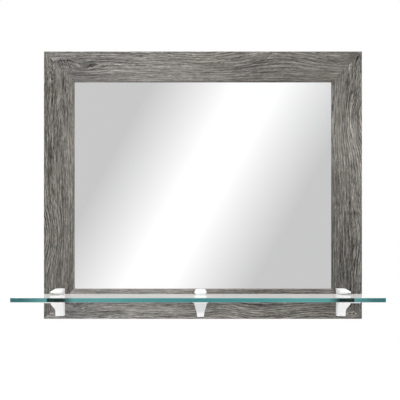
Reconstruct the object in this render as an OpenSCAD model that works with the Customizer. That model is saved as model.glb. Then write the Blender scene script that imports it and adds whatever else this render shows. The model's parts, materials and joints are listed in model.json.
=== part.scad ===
// Wall mirror in a flat mitred wood frame, with a glass shelf held in three clamp brackets.
// +Z is up, +X is to the right and the wall is at y = 0, so the front faces -Y.
// The origin is midway between the two wall hooks, on the wall.

/* [Frame] */
// Width of the frame, outside
frame_w = 647.7; // [480:1:900]
// Height of the frame, outside
frame_h = 544.6; // [400:0.1:800]
// Width of the moulding's flat face
face_w = 61.5; // [52:0.5:90]
// Thickness of the moulding, front to back
frame_t = 19; // [15:0.5:30]
// Radius of the moulding's eased front edges
edge_r = 1.5; // [0.5:0.1:4]
// How far the rabbet that holds the pane reaches under the face
rabbet_w = 5.35; // [5:0.05:9]
// Thickness of the lip in front of the pane
lip_t = 4; // [2:0.1:5]

/* [Mirror and backing] */
// Thickness of the mirror pane
pane_t = 3; // [2:0.5:5]
// Free play between the pane's edges and the rabbet
pane_gap = 1; // [0.5:0.1:2]
// Thickness of the hardboard back
board_t = 3; // [2:0.5:4]

/* [Wall hardware] */
// Gap between the wall and the frame's back, which the bumpers fill
wall_gap = 5; // [5:0.5:8]
// Diameter of a wall bumper
bumper_d = 13; // [8:0.5:20]
// Distance of a bumper's centre from the frame's two edges
bumper_inset = 14; // [10:1:25]
// Drop from the frame's top edge to the wall hooks
hook_drop = 130; // [90:1:200]
// Distance of a hanger's centre line from the frame's side edge
hanger_inset = 30; // [24:1:40]
// Diameter of the hanger ring's wire
ring_wire = 2.4; // [2:0.1:2.6]
// Clear width inside the hanger ring
ring_inside = 15; // [14:0.5:20]
// Thickness of the hanger strap
strap_t = 0.9; // [0.7:0.1:1.2]
// Length of the hanger strap below the ring's pivot
strap_l = 38; // [31:1:50]
// Width of the hanger strap
strap_w = 12; // [10:0.5:13]
// Length of a turn button
button_l = 24; // [20:1:30]
// Width of a turn button
button_w = 9; // [7.5:0.5:12]
// Thickness of a turn button
button_t = 1; // [0.8:0.1:1.5]
// Distance of the turn buttons on the rails from the middle
button_spread = 150; // [60:5:200]

/* [Shelf] */
// Length of the glass shelf
shelf_l = 676.5; // [600:0.5:900]
// Depth of the glass shelf, front to back
shelf_d = 127; // [95:1:160]
// Thickness of the glass shelf
shelf_t = 8; // [5:0.5:10]
// Radius of the shelf's corners, seen from above
shelf_corner_r = 3; // [2:0.5:20]
// Width of the small flats ground along the shelf's edges
shelf_arris = 0.8; // [0.3:0.1:1.2]
// Height of the shelf's underside above the frame's bottom edge
shelf_rise = 43.9; // [36:0.1:60]
// How far the shelf lies to the left of the middle bracket
shelf_left = 4.5; // [0:0.5:10]

/* [Brackets] */
// How far the three brackets sit to the left of the frame's middle
bracket_left = 5; // [0:0.5:8]
// Distance from the middle bracket to each end bracket's flat inner cheek
cheek_x = 275.4; // [200:0.2:278]
// Distance from an end bracket's flat cheek to its screw's centre line
cheek_half = 7.7; // [7:0.1:10]
// Length of the lower jaw, from the frame's face to its tip
lower_jaw_l = 70; // [55:1:90]
// Thickness of the lower jaw
lower_jaw_t = 5; // [3:0.1:6]
// Width of the middle bracket's lower jaw
lower_jaw_w = 31; // [25:0.5:40]
// Reach of an end bracket's lower jaw beyond its screw's centre line
end_jaw_reach = 25.5; // [18:0.5:32]
// Height of the bracket's body below the lower jaw
gusset_h = 31.3; // [26:0.1:40]
// Depth of the bracket's body at its foot
foot_d = 17; // [14:0.5:24]
// Length of the upper jaw, from the frame's face to the tip of its beak
upper_jaw_l = 43; // [36:1:60]
// Height of the upper jaw
upper_jaw_h = 9.3; // [7:0.1:14]
// How much lower the middle bracket's crown is than the others'
crown_drop = 1.2; // [0:0.1:2.5]
// How much higher the end brackets' feet are than the middle one's
end_foot_up = 1.5; // [0:0.1:4]
// Thickness of the rubber pad below the glass
pad_t = 1.5; // [1:0.1:3]
// Thickness of the rubber pad above the glass
upper_pad_t = 1.2; // [1:0.1:4]
// How far the upper jaw can be lifted off the glass by its screw
jaw_lift = 10; // [4:0.5:12]

/* [Fasteners] */
// Diameter of the clamp screw's thread
clamp_screw_d = 4; // [3:0.5:5]
// Diameter of the screws that hold a bracket through the frame
fixing_screw_d = 4; // [3:0.5:5]
// Diameter of the wood screws of hangers and turn buttons
wood_screw_d = 3; // [2.5:0.1:3.6]

/* [Hidden] */
$fn = 48;
eps = 0.01;

// Colours
wood_grey = [0.50, 0.49, 0.46];
silvered = [0.86, 0.88, 0.90];
board_brown = [0.50, 0.37, 0.25];
card_tan = [0.72, 0.60, 0.44];
glass_teal = [0.45, 0.70, 0.70, 0.55];
enamel_white = [0.95, 0.95, 0.95];
rubber_black = [0.07, 0.07, 0.07];
rubber_clear = [0.85, 0.87, 0.87];
zinc = [0.72, 0.73, 0.74];

// Planes of the frame
back_y = -wall_gap;
face_y = back_y - frame_t;
top_z = hook_drop;
bottom_z = top_z - frame_h;
mid_z = (top_z + bottom_z) / 2;
cushion_t = frame_t - lip_t - pane_t - board_t;
pane_w = frame_w - 2 * face_w + 2 * rabbet_w - 2 * pane_gap;
pane_h = frame_h - 2 * face_w + 2 * rabbet_w - 2 * pane_gap;

// Clearances
press_gap = 0.02;      // a screw's shank in its pilot hole
running_gap = 0.08;    // a wire or thread that turns in a hole
sliding_gap = 0.1;     // the jaw's stem in its channel
seat_gap = 0.3;        // the upper jaw off the frame's face and the body's top

// V nails, two in the back of each mitre
v_nail_h = 10;
v_nail_leg = 5;
v_nail_t = 0.5;
v_nail_in = [22, face_w - rabbet_w - v_nail_leg - 4];

// Turn buttons
button_hole_r = wood_screw_d / 2 + 0.3;
button_pivot_in = button_w / 2;
button_screw_out = rabbet_w + button_pivot_in + 3;
pan_head_r = wood_screw_d;
pan_head_h = 0.63 * wood_screw_d;
wood_screw_l = 11;
recess_w = 0.9;
recess_l = 3.4;
recess_h = 1.1;

// Hangers: the ring's inside touches the hook at z = 0
hanger_x = frame_w / 2 - hanger_inset;
ring_r = ring_inside / 2;
knuckle_r = ring_wire / 2 + running_gap + strap_t;
ring_side = 4;
pivot_y = back_y + knuckle_r;
pivot_z = -ring_inside / 2 - ring_side - ring_wire / 2;
strap_hole_1 = 8.5;
strap_hole_2 = strap_l - 6;

// Bracket, in its own frame: x along the wall, u forward of the frame's face, z above the glass's underside
glass_z = bottom_z + shelf_rise;
back_wall = 5.5;
channel_d = 6;
front_wall = 1.5;
spine_d = back_wall + channel_d + front_wall;
liner_t = 1;
glass_back = spine_d + liner_t;
stem_w = 7.8;
stem_d = channel_d - 2 * sliding_gap;
screw_u = back_wall + channel_d / 2;
jaw_under = -pad_t - lower_jaw_t;
head_under = shelf_t + upper_pad_t;
head_top = head_under + upper_jaw_h;
spine_top = head_under - seat_gap;
socket_head_r = 0.85 * clamp_screw_d;
socket_head_h = 0.85 * clamp_screw_d;
socket_hex = 0.75 * clamp_screw_d;
counterbore_gap = 0.3;
counterbore_h = socket_head_h + 0.6;
ring_clip_t = 0.6;
ring_clip_r = channel_d / 2 - 0.2;
clamp_screw_top = head_under - jaw_lift - 2;
gusset_r = gusset_h - 7.3;

// Half widths seen from the front, [middle bracket, outer side of an end bracket]
gusset_half = [
    [[6.6, 0], [7.2, 0.18], [8.6, 0.37], [10.4, 0.57], [11.6, 0.72], [12.2, 0.84], [12.6, 1]],
    [
        [8, 0], [8, 0.34], [8.4, 0.44], [9.3, 0.51], [10.6, 0.58],
        [12.3, 0.65], [13.9, 0.72], [15.1, 0.82], [15.8, 1]
    ]
];
spine_half = [10.3, 9.0];
pad_half = [9.4, 4.8];
neck_half = [9.8, 5.2];
beak_half = [12.2, 12.3];
crown_half = [9.4, 8.0];
jaw_half = [lower_jaw_w / 2, end_jaw_reach];
jaw_round = 7;

// The screws that hold a bracket come through the frame from behind
fixing_z = [-14, -30];
fixing_head_r = 0.975 * fixing_screw_d;
fixing_head_h = 0.65 * fixing_screw_d;
fixing_sink = 3.4;
fixing_grip = back_wall - 1;

SIDES = [-1, 0, 1];

function bracket_x(side) = side * (cheek_x + cheek_half) - bracket_left;
function kind(side) = side == 0 ? 0 : 1;
function foot_z(side) = jaw_under - gusset_h + kind(side) * end_foot_up;
function channel_floor(side) = foot_z(side) + counterbore_h + 8;
function stem_foot(side) = channel_floor(side) + 1.2 + ring_clip_t;

// Points of an arc round c from angle a to b
function arc(c, r, a, b, n = 6) =
    [for (i = [0:n]) let (t = a + (b - a) * i / n) c + r * [cos(t), sin(t)]];

// A closed outline from its right half: the left half is its mirror image, or flat at -inner
function outline(half, inner) = concat(
    half,
    [for (i = [len(half) - 1:-1:0]) [inner > 0 ? -inner : -half[i][0], half[i][1]]]
);
function inner_of(side) = side == 0 ? 0 : cheek_half;

// Where the turn buttons' screws go: x, z and the angle that the button points from +X
function button_places() = [
    [-button_spread, top_z - face_w + button_screw_out, -90],
    [button_spread, top_z - face_w + button_screw_out, -90],
    [-button_spread, bottom_z + face_w - button_screw_out, 90],
    [button_spread, bottom_z + face_w - button_screw_out, 90],
    [-frame_w / 2 + face_w - button_screw_out, mid_z, 0],
    [frame_w / 2 - face_w + button_screw_out, mid_z, 180]
];

// ---------- helpers ----------

// A 2D shape drawn in (u, z) becomes a prism from x0 to x1, with u running forward
module side_prism(x0, x1) {
    translate([x1, 0, 0]) rotate([90, 0, -90]) linear_extrude(x1 - x0) children();
}

// A 2D shape drawn in (x, z) becomes a prism from u0 to u1, with u running forward
module front_prism(u0, u1) {
    translate([0, -u0, 0]) rotate([90, 0, 0]) linear_extrude(u1 - u0) children();
}

// A cylinder along Y from y0 to y1
module y_cylinder(r, y0, y1) {
    translate([0, y0, 0]) rotate([-90, 0, 0]) cylinder(r = r, h = y1 - y0);
}

// Moves a bracket's own frame to its place on the bottom of the frame, mirrored on the left
module at_bracket(side) {
    translate([bracket_x(side), face_y, glass_z]) mirror([side < 0 ? 1 : 0, 0, 0]) children();
}

// A pan head wood screw on the back of the frame: its head starts at y = seat, its shank runs forward
module pan_screw(seat, length) {
    difference() {
        union() {
            y_cylinder(pan_head_r, seat, seat + pan_head_h);
            y_cylinder(wood_screw_d / 2, seat - length, seat + eps);
        }
        cross_recess(seat + pan_head_h, recess_l, recess_w, recess_h);
    }
}

// A cross recess sunk into a head whose top is at y = top
module cross_recess(top, length, width, depth) {
    for (turn = [0, 90])
        rotate([0, turn, 0]) translate([-length / 2, top - depth, -width / 2])
            cube([length, depth + 1, width]);
}

// ---------- frame ----------

// Section of the moulding: y from face to back, z from the outer edge to the sight edge
module moulding_section() {
    polygon(concat(
        arc([edge_r, edge_r], edge_r, 270, 180),
        arc([edge_r, face_w - edge_r], edge_r, 180, 90),
        [
            [lip_t, face_w], [lip_t, face_w - rabbet_w],
            [frame_t, face_w - rabbet_w], [frame_t, 0]
        ]
    ));
}

// One frame member, lying along X with its outer edge at z = 0, mitred at both ends
module member(length) {
    intersection() {
        translate([-length / 2, 0, 0]) rotate([90, 0, 90]) linear_extrude(length) moulding_section();
        translate([0, frame_t + 1, 0]) rotate([90, 0, 0]) linear_extrude(frame_t + 2)
            polygon([
                [-length / 2, 0], [length / 2, 0],
                [length / 2 - face_w, face_w], [-length / 2 + face_w, face_w]
            ]);
    }
}

// Every hole that is drilled in the frame
module frame_holes() {
    for (place = button_places())
        translate([place[0], 0, place[1]])
            y_cylinder(wood_screw_d / 2 + press_gap, back_y - wood_screw_l, back_y + 1);
    for (side = [-1, 1], drop = [strap_hole_1, strap_hole_2])
        translate([side * hanger_x, 0, pivot_z - drop])
            y_cylinder(wood_screw_d / 2 + press_gap, back_y - wood_screw_l, back_y + 1);
    for (side = SIDES, z = fixing_z)
        translate([bracket_x(side), 0, glass_z + z]) {
            y_cylinder(fixing_screw_d / 2 + press_gap, face_y - 1, back_y + 1);
            y_cylinder(fixing_head_r + counterbore_gap, back_y - fixing_sink, back_y + 1);
        }
}

module bottom_rail() {
    color(wood_grey) difference() {
        translate([0, face_y, bottom_z]) member(frame_w);
        frame_holes();
    }
}

module top_rail() {
    color(wood_grey) difference() {
        translate([0, face_y, top_z]) rotate([0, 180, 0]) member(frame_w);
        frame_holes();
    }
}

module left_stile() {
    color(wood_grey) difference() {
        translate([-frame_w / 2, face_y, mid_z]) rotate([0, 90, 0]) member(frame_h);
        frame_holes();
    }
}

module right_stile() {
    color(wood_grey) difference() {
        translate([frame_w / 2, face_y, mid_z]) rotate([0, -90, 0]) member(frame_h);
        frame_holes();
    }
}

// A V nail driven in from the back, its point on the mitre and its legs in the two members
module v_nail() {
    for (turn = [0, -90])
        rotate([0, turn, 0]) translate([0, -v_nail_h, -v_nail_t / 2]) cube([v_nail_leg, v_nail_h, v_nail_t]);
}

module corner_v_nails() {
    color(zinc)
        for (sx = [-1, 1], sz = [-1, 1], in = v_nail_in)
            translate([sx * (frame_w / 2 - in), back_y, sz > 0 ? top_z - in : bottom_z + in])
                mirror([sx > 0 ? 1 : 0, 0, 0]) mirror([0, 0, sz > 0 ? 1 : 0]) v_nail();
}

// ---------- mirror and backing ----------

// A sheet that fills the rabbet, from y0 to y0 + thickness
module rabbet_sheet(y0, thickness) {
    translate([-pane_w / 2, y0, mid_z - pane_h / 2]) cube([pane_w, thickness, pane_h]);
}

module mirror_pane() {
    color(silvered) rabbet_sheet(face_y + lip_t, pane_t);
}

module cushion_sheet() {
    color(card_tan) rabbet_sheet(face_y + lip_t + pane_t, cushion_t);
}

module backing_board() {
    color(board_brown) rabbet_sheet(back_y - board_t, board_t);
}

// A flat steel button that turns on its screw and keeps the board in
module turn_button(index) {
    place = button_places()[index];
    color(zinc) translate([place[0], back_y, place[1]]) rotate([0, -place[2], 0])
        difference() {
            rotate([-90, 0, 0]) linear_extrude(button_t) {
                circle(r = button_w / 2);
                translate([0, -button_w / 2]) square([button_l - button_w, button_w]);
                translate([button_l - button_w, 0]) circle(r = button_w / 2);
            }
            y_cylinder(button_hole_r, -1, button_t + 1);
        }
}

module turn_button_screws() {
    color(zinc)
        for (place = button_places())
            translate([place[0], 0, place[1]]) pan_screw(back_y + button_t, wood_screw_l);
}

// ---------- wall hardware ----------

// The strap lies on the back of the stile, and its rolled end holds the ring
module hanger_strap(side) {
    knuckle_w = ring_inside - 4;
    color(zinc) translate([side * hanger_x, 0, 0])
        difference() {
            union() {
                translate([-strap_w / 2, back_y, pivot_z - strap_l + strap_w / 2])
                    cube([strap_w, strap_t, strap_l - strap_w / 2]);
                translate([0, 0, pivot_z - strap_l + strap_w / 2])
                    y_cylinder(strap_w / 2, back_y, back_y + strap_t);
                translate([-knuckle_w / 2, pivot_y, pivot_z]) rotate([0, 90, 0])
                    cylinder(r = knuckle_r, h = knuckle_w);
            }
            translate([-knuckle_w, pivot_y, pivot_z]) rotate([0, 90, 0])
                cylinder(r = ring_wire / 2 + running_gap, h = 2 * knuckle_w);
            for (drop = [strap_hole_1, strap_hole_2])
                translate([0, 0, pivot_z - drop])
                    y_cylinder(wood_screw_d / 2 + 0.2, back_y - 1, back_y + strap_t + 1);
        }
}

// A D ring of round wire: a straight leg in the strap, two sides and a half circle
module hanger_ring(side) {
    wire_r = ring_wire / 2;
    bend_r = ring_r + wire_r;
    color(zinc) translate([side * hanger_x, pivot_y, pivot_z]) {
        translate([-bend_r, 0, 0]) rotate([0, 90, 0]) cylinder(r = wire_r, h = 2 * bend_r);
        for (sx = [-1, 1])
            translate([sx * bend_r, 0, 0]) {
                sphere(r = wire_r);
                cylinder(r = wire_r, h = ring_side + wire_r);
            }
        translate([0, 0, ring_side + wire_r]) rotate([90, 0, 0])
            rotate_extrude(angle = 180) translate([bend_r, 0]) circle(r = wire_r);
    }
}

module hanger_screws() {
    color(zinc)
        for (side = [-1, 1], drop = [strap_hole_1, strap_hole_2])
            translate([side * hanger_x, 0, pivot_z - drop]) pan_screw(back_y + strap_t, wood_screw_l);
}

module wall_bumpers() {
    color(rubber_clear)
        for (sx = [-1, 1], z = [top_z - bumper_inset, bottom_z + bumper_inset])
            translate([sx * (frame_w / 2 - bumper_inset), back_y, z])
                rotate([-90, 0, 0]) cylinder(r1 = bumper_d / 2, r2 = bumper_d / 2 - 1.2, h = wall_gap);
}

// ---------- shelf ----------

module shelf_plan() {
    r = shelf_corner_r;
    for (sx = [-1, 1], sy = [-1, 1])
        translate([sx * (shelf_l / 2 - r), sy * (shelf_d / 2 - r)]) circle(r = r);
    square([shelf_l - 2 * r, shelf_d], center = true);
    square([shelf_l, shelf_d - 2 * r], center = true);
}

// Section across the glass, length along x2d, with its arrises
module arris_section(length) {
    a = shelf_arris;
    polygon([
        [-length / 2 + a, 0], [length / 2 - a, 0], [length / 2, a], [length / 2, shelf_t - a],
        [length / 2 - a, shelf_t], [-length / 2 + a, shelf_t], [-length / 2, shelf_t - a], [-length / 2, a]
    ]);
}

module glass_shelf() {
    color(glass_teal) translate([-bracket_left - shelf_left, face_y - glass_back - shelf_d / 2, glass_z])
        intersection() {
            linear_extrude(shelf_t) shelf_plan();
            translate([0, shelf_d / 2, 0]) front_prism(0, shelf_d) arris_section(shelf_l);
            side_prism(-shelf_l / 2, shelf_l / 2) arris_section(shelf_d);
        }
}

// ---------- clamp brackets ----------

// Lower jaw seen from the front
module lower_jaw_outline(side) {
    h = jaw_half[kind(side)];
    drop = lower_jaw_t * 0.25;
    polygon(outline([[h, -pad_t], [h, jaw_under + drop], [h - drop, jaw_under]], inner_of(side)));
}

// Lower jaw seen from above, with a rounded tip
module lower_jaw_plan(side) {
    h = jaw_half[kind(side)];
    inner = side == 0 ? h : cheek_half;
    r = jaw_round;
    difference() {
        translate([-inner, -lower_jaw_l]) square([inner + h, lower_jaw_l]);
        for (x = [-inner, h])
            translate([x, -lower_jaw_l]) mirror([x > 0 ? 1 : 0, 0])
                difference() {
                    translate([-1, -1]) square(r + 1);
                    translate([r, r]) circle(r = r);
                }
    }
}

// Spine and gusset seen from the side
module body_side(side) {
    foot = foot_z(side);
    difference() {
        translate([0, foot]) square([foot_d + gusset_r, jaw_under + eps - foot]);
        translate([foot_d, foot - 1]) square([gusset_r + 1, jaw_under - gusset_r - foot + 1]);
        translate([foot_d + gusset_r, jaw_under - gusset_r]) circle(r = gusset_r, $fn = 96);
    }
    translate([0, jaw_under]) square([spine_d, spine_top - jaw_under]);
}

// Spine and gusset seen from the front
module body_front(side) {
    k = kind(side);
    half = gusset_half[k];
    polygon(outline(
        concat(
            [for (p = half) [p[0], jaw_under - (1 - p[1]) * gusset_h]],
            [[half[len(half) - 1][0], -pad_t], [spine_half[k], 0], [spine_half[k], spine_top]]
        ),
        inner_of(side)
    ));
}

module bracket_body(side) {
    color(enamel_white) at_bracket(side) difference() {
        union() {
            intersection() {
                side_prism(-30, 30) body_side(side);
                front_prism(0, lower_jaw_l) body_front(side);
            }
            intersection() {
                front_prism(0, lower_jaw_l) lower_jaw_outline(side);
                translate([0, 0, jaw_under - 1]) linear_extrude(lower_jaw_t + 2) lower_jaw_plan(side);
            }
        }
        // channel for the upper jaw's stem
        translate([-stem_w / 2 - sliding_gap, -back_wall - channel_d, channel_floor(side)])
            cube([stem_w + 2 * sliding_gap, channel_d, spine_top - channel_floor(side) + 1]);
        // clamp screw, from below
        translate([0, -screw_u, foot_z(side) - 1])
            cylinder(r = clamp_screw_d / 2 + running_gap, h = channel_floor(side) - foot_z(side) + 2);
        translate([0, -screw_u, foot_z(side) - 1])
            cylinder(r = socket_head_r + counterbore_gap, h = counterbore_h + 1);
        // threaded holes for the fixing screws, from the back
        for (z = fixing_z)
            translate([0, 0, z]) y_cylinder(fixing_screw_d / 2 + press_gap, -fixing_grip - 0.3, 1);
    }
}

// Upper jaw seen from the side: a flat crown that slopes down to a beak
module head_side() {
    tip_h = upper_jaw_h * 0.45;
    nose_r = 1.2;
    polygon(concat(
        [[seat_gap, head_under], [seat_gap, head_top], [upper_jaw_l * 0.37, head_top]],
        arc([upper_jaw_l - nose_r, head_under + tip_h], nose_r, 70, 0, 4),
        arc([upper_jaw_l - nose_r, head_under + nose_r], nose_r, 0, -90, 4)
    ));
}

// Upper jaw seen from the front: a neck over the pad, wider beak sides and a narrower crown
module head_front(side) {
    k = kind(side);
    beak_under = head_under + upper_jaw_h * 0.15;
    polygon(outline(
        [
            [neck_half[k], head_under], [neck_half[k], beak_under], [beak_half[k] - 0.5, beak_under],
            [beak_half[k], beak_under + 1], [beak_half[k] - 0.5, beak_under + upper_jaw_h * 0.25],
            [crown_half[k], head_top - (1 - k) * crown_drop]
        ],
        inner_of(side)
    ));
}

module upper_jaw(side) {
    color(enamel_white) at_bracket(side) difference() {
        union() {
            intersection() {
                side_prism(-30, 30) head_side();
                front_prism(0, upper_jaw_l + 1) head_front(side);
            }
            translate([-stem_w / 2, -back_wall - channel_d + sliding_gap, stem_foot(side)])
                cube([stem_w, stem_d, head_under + 1 - stem_foot(side)]);
        }
        translate([0, -screw_u, stem_foot(side) - 1])
            cylinder(r = clamp_screw_d / 2 + running_gap, h = clamp_screw_top - stem_foot(side) + 2);
    }
}

module upper_pad(side) {
    half = pad_half[kind(side)];
    color(rubber_clear) at_bracket(side)
        translate([-half, -upper_jaw_l * 0.8, shelf_t])
            cube([2 * half, upper_jaw_l * 0.8 - glass_back, upper_pad_t]);
}

// The lower pad lies on the lower jaw and turns up behind the glass
module lower_pad(side) {
    k = kind(side);
    inner = side == 0 ? spine_half[k] : cheek_half;
    color(side == 0 ? rubber_clear : rubber_black) at_bracket(side)
        side_prism(-inner, spine_half[k]) polygon([
            [spine_d, -pad_t], [lower_jaw_l - 6, -pad_t], [lower_jaw_l - 6, 0],
            [glass_back, 0], [glass_back, shelf_t - 0.5], [spine_d, shelf_t - 0.5]
        ]);
}

module clamp_screw(side) {
    head_z = foot_z(side) + counterbore_h - socket_head_h;
    color(zinc) at_bracket(side) translate([0, -screw_u, 0])
        difference() {
            union() {
                translate([0, 0, head_z]) cylinder(r = socket_head_r, h = socket_head_h);
                translate([0, 0, head_z + 1])
                    cylinder(r = clamp_screw_d / 2, h = clamp_screw_top - head_z - 1);
            }
            translate([0, 0, head_z - 1])
                cylinder(r = socket_hex / 2 / cos(30), h = 1 + socket_head_h * 0.6, $fn = 6);
        }
}

// The clip on the screw above the channel's floor, which lets the screw push the jaw up
module retaining_ring(side) {
    color(zinc) at_bracket(side) translate([0, -screw_u, channel_floor(side) + seat_gap])
        difference() {
            cylinder(r = ring_clip_r, h = ring_clip_t);
            translate([0, 0, -1]) cylinder(r = clamp_screw_d / 2, h = ring_clip_t + 2);
        }
}

// The screws that come through the frame into the back of the brackets
module bracket_fixing_screws() {
    seat = back_y - fixing_sink;
    color(zinc)
        for (side = SIDES, z = fixing_z)
            translate([bracket_x(side), 0, glass_z + z])
                difference() {
                    union() {
                        y_cylinder(fixing_head_r, seat, seat + fixing_head_h);
                        y_cylinder(fixing_screw_d / 2, face_y - fixing_grip, seat + eps);
                    }
                    cross_recess(seat + fixing_head_h, 4.4, 1.1, 1.5);
                }
}

// ---------- nodes ----------

top_rail();
bottom_rail();
left_stile();
right_stile();
corner_v_nails();
mirror_pane();
cushion_sheet();
backing_board();
turn_button(0);  // turn_button_top_left
turn_button(1);  // turn_button_top_right
turn_button(2);  // turn_button_bottom_left
turn_button(3);  // turn_button_bottom_right
turn_button(4);  // turn_button_left
turn_button(5);  // turn_button_right
turn_button_screws();
hanger_strap(-1);  // hanger_strap_left
hanger_strap(1);  // hanger_strap_right
hanger_ring(-1);  // hanger_ring_left
hanger_ring(1);  // hanger_ring_right
hanger_screws();
wall_bumpers();
glass_shelf();
bracket_fixing_screws();
bracket_body(-1);  // bracket_body_left
bracket_body(0);  // bracket_body_centre
bracket_body(1);  // bracket_body_right
upper_jaw(-1);  // upper_jaw_left
upper_jaw(0);  // upper_jaw_centre
upper_jaw(1);  // upper_jaw_right
upper_pad(-1);  // upper_pad_left
upper_pad(0);  // upper_pad_centre
upper_pad(1);  // upper_pad_right
lower_pad(-1);  // lower_pad_left
lower_pad(0);  // lower_pad_centre
lower_pad(1);  // lower_pad_right
clamp_screw(-1);  // clamp_screw_left
clamp_screw(0);  // clamp_screw_centre
clamp_screw(1);  // clamp_screw_right
retaining_ring(-1);  // retaining_ring_left
retaining_ring(0);  // retaining_ring_centre
retaining_ring(1);  // retaining_ring_right
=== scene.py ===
"""Looks of a wall mirror in a grey weathered frame, with a glass shelf in three clamp brackets.

Made for Blender 4.5. Sizes are in metres, and in millimetres where a name ends in _mm, in the frame of
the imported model: +Z is up, +X is to the right, the wall is at y = 0 and the front faces -Y.
"""

import json
import logging
import math
from dataclasses import dataclass
from enum import Enum
from functools import cached_property

import bmesh
import bpy
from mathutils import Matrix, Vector

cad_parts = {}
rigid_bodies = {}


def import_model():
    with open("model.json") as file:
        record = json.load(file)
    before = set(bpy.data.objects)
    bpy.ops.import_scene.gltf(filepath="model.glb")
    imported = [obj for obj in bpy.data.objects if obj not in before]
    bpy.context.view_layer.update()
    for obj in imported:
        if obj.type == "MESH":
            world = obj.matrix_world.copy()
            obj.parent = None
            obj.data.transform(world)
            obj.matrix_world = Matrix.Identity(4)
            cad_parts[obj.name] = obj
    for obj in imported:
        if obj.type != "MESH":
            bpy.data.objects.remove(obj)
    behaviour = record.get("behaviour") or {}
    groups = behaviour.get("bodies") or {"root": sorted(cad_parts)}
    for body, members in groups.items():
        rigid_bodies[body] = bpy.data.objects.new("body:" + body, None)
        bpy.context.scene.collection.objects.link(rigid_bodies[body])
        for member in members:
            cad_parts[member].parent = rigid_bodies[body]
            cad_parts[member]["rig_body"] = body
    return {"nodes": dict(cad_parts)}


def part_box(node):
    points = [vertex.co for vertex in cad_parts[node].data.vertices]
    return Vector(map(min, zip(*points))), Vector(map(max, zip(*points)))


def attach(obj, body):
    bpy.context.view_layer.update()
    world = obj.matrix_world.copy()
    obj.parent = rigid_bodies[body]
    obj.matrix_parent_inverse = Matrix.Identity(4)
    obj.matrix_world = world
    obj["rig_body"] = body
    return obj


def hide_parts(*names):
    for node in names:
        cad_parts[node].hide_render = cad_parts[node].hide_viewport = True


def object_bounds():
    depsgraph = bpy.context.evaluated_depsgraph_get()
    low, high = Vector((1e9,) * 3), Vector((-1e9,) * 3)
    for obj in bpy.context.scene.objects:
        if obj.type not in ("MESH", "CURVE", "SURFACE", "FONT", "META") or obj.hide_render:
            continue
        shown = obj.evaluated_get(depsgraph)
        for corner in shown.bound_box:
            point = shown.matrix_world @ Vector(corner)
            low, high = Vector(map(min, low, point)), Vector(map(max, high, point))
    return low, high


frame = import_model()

Triple = tuple[float, float, float]
Colour = Triple
Stops = tuple[tuple[float, Colour], ...]

CAD_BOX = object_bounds()
MM = 0.001
TURN = 2 * math.pi
WELD = 0.002 * MM
FLAT_DEGREES = 0.4

# How far each step of a seed shifts noise, and the range that noise mostly stays in.
SEED_STEP: Triple = (1.0, 1.7, 2.3)
NOISE_RANGE = (0.3, 0.7)

log = logging.getLogger("mirror_with_shelf")


# ---------- small helpers ----------


def from_screen(red: float, green: float, blue: float) -> Colour:
    """A colour as a screen shows it, from 0 to 255, turned into linear light by the sRGB curve."""
    shares = (red / 255, green / 255, blue / 255)
    return tuple(s / 12.92 if s <= 0.04045 else ((s + 0.055) / 1.055) ** 2.4 for s in shares)


def opaque(colour: Colour) -> tuple[float, float, float, float]:
    """The colour with an alpha of 1, as colour sockets take it."""
    return (*colour, 1.0)


def linked(name: str, data: bpy.types.ID) -> bpy.types.Object:
    """Adds an object to the scene.

    Args:
        name: what it is called.
        data: its mesh, camera or lamp.

    Returns:
        The object, at the origin.
    """
    obj = bpy.data.objects.new(name, data)
    bpy.context.scene.collection.objects.link(obj)
    return obj


def smooth(mesh: bpy.types.Mesh, crease_degrees: float) -> None:
    """Shades a mesh smooth except at edges sharper than crease_degrees."""
    mesh.shade_smooth()
    mesh.set_sharp_from_angle(angle=math.radians(crease_degrees))


def settle(piece: bpy.types.Object) -> None:
    """Puts the result of a piece's modifiers into a plain mesh of its own.

    Args:
        piece: the object with modifiers.
    """
    depsgraph = bpy.context.evaluated_depsgraph_get()
    plain = bpy.data.meshes.new_from_object(piece.evaluated_get(depsgraph), depsgraph=depsgraph)
    piece.modifiers.clear()
    piece.data = plain


@dataclass(frozen=True)
class Finish:
    """A material, and the record's material slot that it stands for."""

    material: bpy.types.Material
    slot: str


def stand_for(piece: bpy.types.Object, node: str) -> None:
    """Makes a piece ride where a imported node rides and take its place.

    Args:
        piece: the finished object.
        node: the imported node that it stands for.
    """
    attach(piece, frame["nodes"][node]["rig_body"])
    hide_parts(node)
    log.info("%s: %d faces, for %s", piece.name, len(piece.data.polygons), node)


def dress(piece: bpy.types.Object, node: str, *finishes: Finish) -> None:
    """Gives a copy its finishes and puts it in the place of its node.

    Args:
        piece: the copy.
        node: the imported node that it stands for.
        *finishes: its finishes, all of one slot, in the order in which its faces number them.
    """
    for finish in finishes:
        piece.data.materials.append(finish.material)
    stand_for(piece, node)


def welded(node: str) -> bmesh.types.BMesh:
    """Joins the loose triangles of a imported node.

    Args:
        node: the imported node.

    Returns:
        The joined mesh, which the caller frees.
    """
    work = bmesh.new()
    work.from_mesh(frame["nodes"][node].data)
    bmesh.ops.remove_doubles(work, verts=work.verts, dist=WELD)
    return work


def merged_copy(node: str, name: str) -> bpy.types.Object:
    """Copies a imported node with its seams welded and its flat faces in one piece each.

    Args:
        node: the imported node.
        name: what the copy is called.

    Returns:
        The copy, as an object at the origin.
    """
    work = welded(node)
    flat = math.radians(FLAT_DEGREES)
    bmesh.ops.dissolve_limit(work, angle_limit=flat, verts=work.verts, edges=work.edges)
    mesh = bpy.data.meshes.new(name)
    work.to_mesh(mesh)
    work.free()
    for stale in [a.name for a in mesh.attributes if a.name in ("custom_normal", "UVMap")]:
        mesh.attributes.remove(mesh.attributes[stale])
    return linked(name, mesh)


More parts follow.
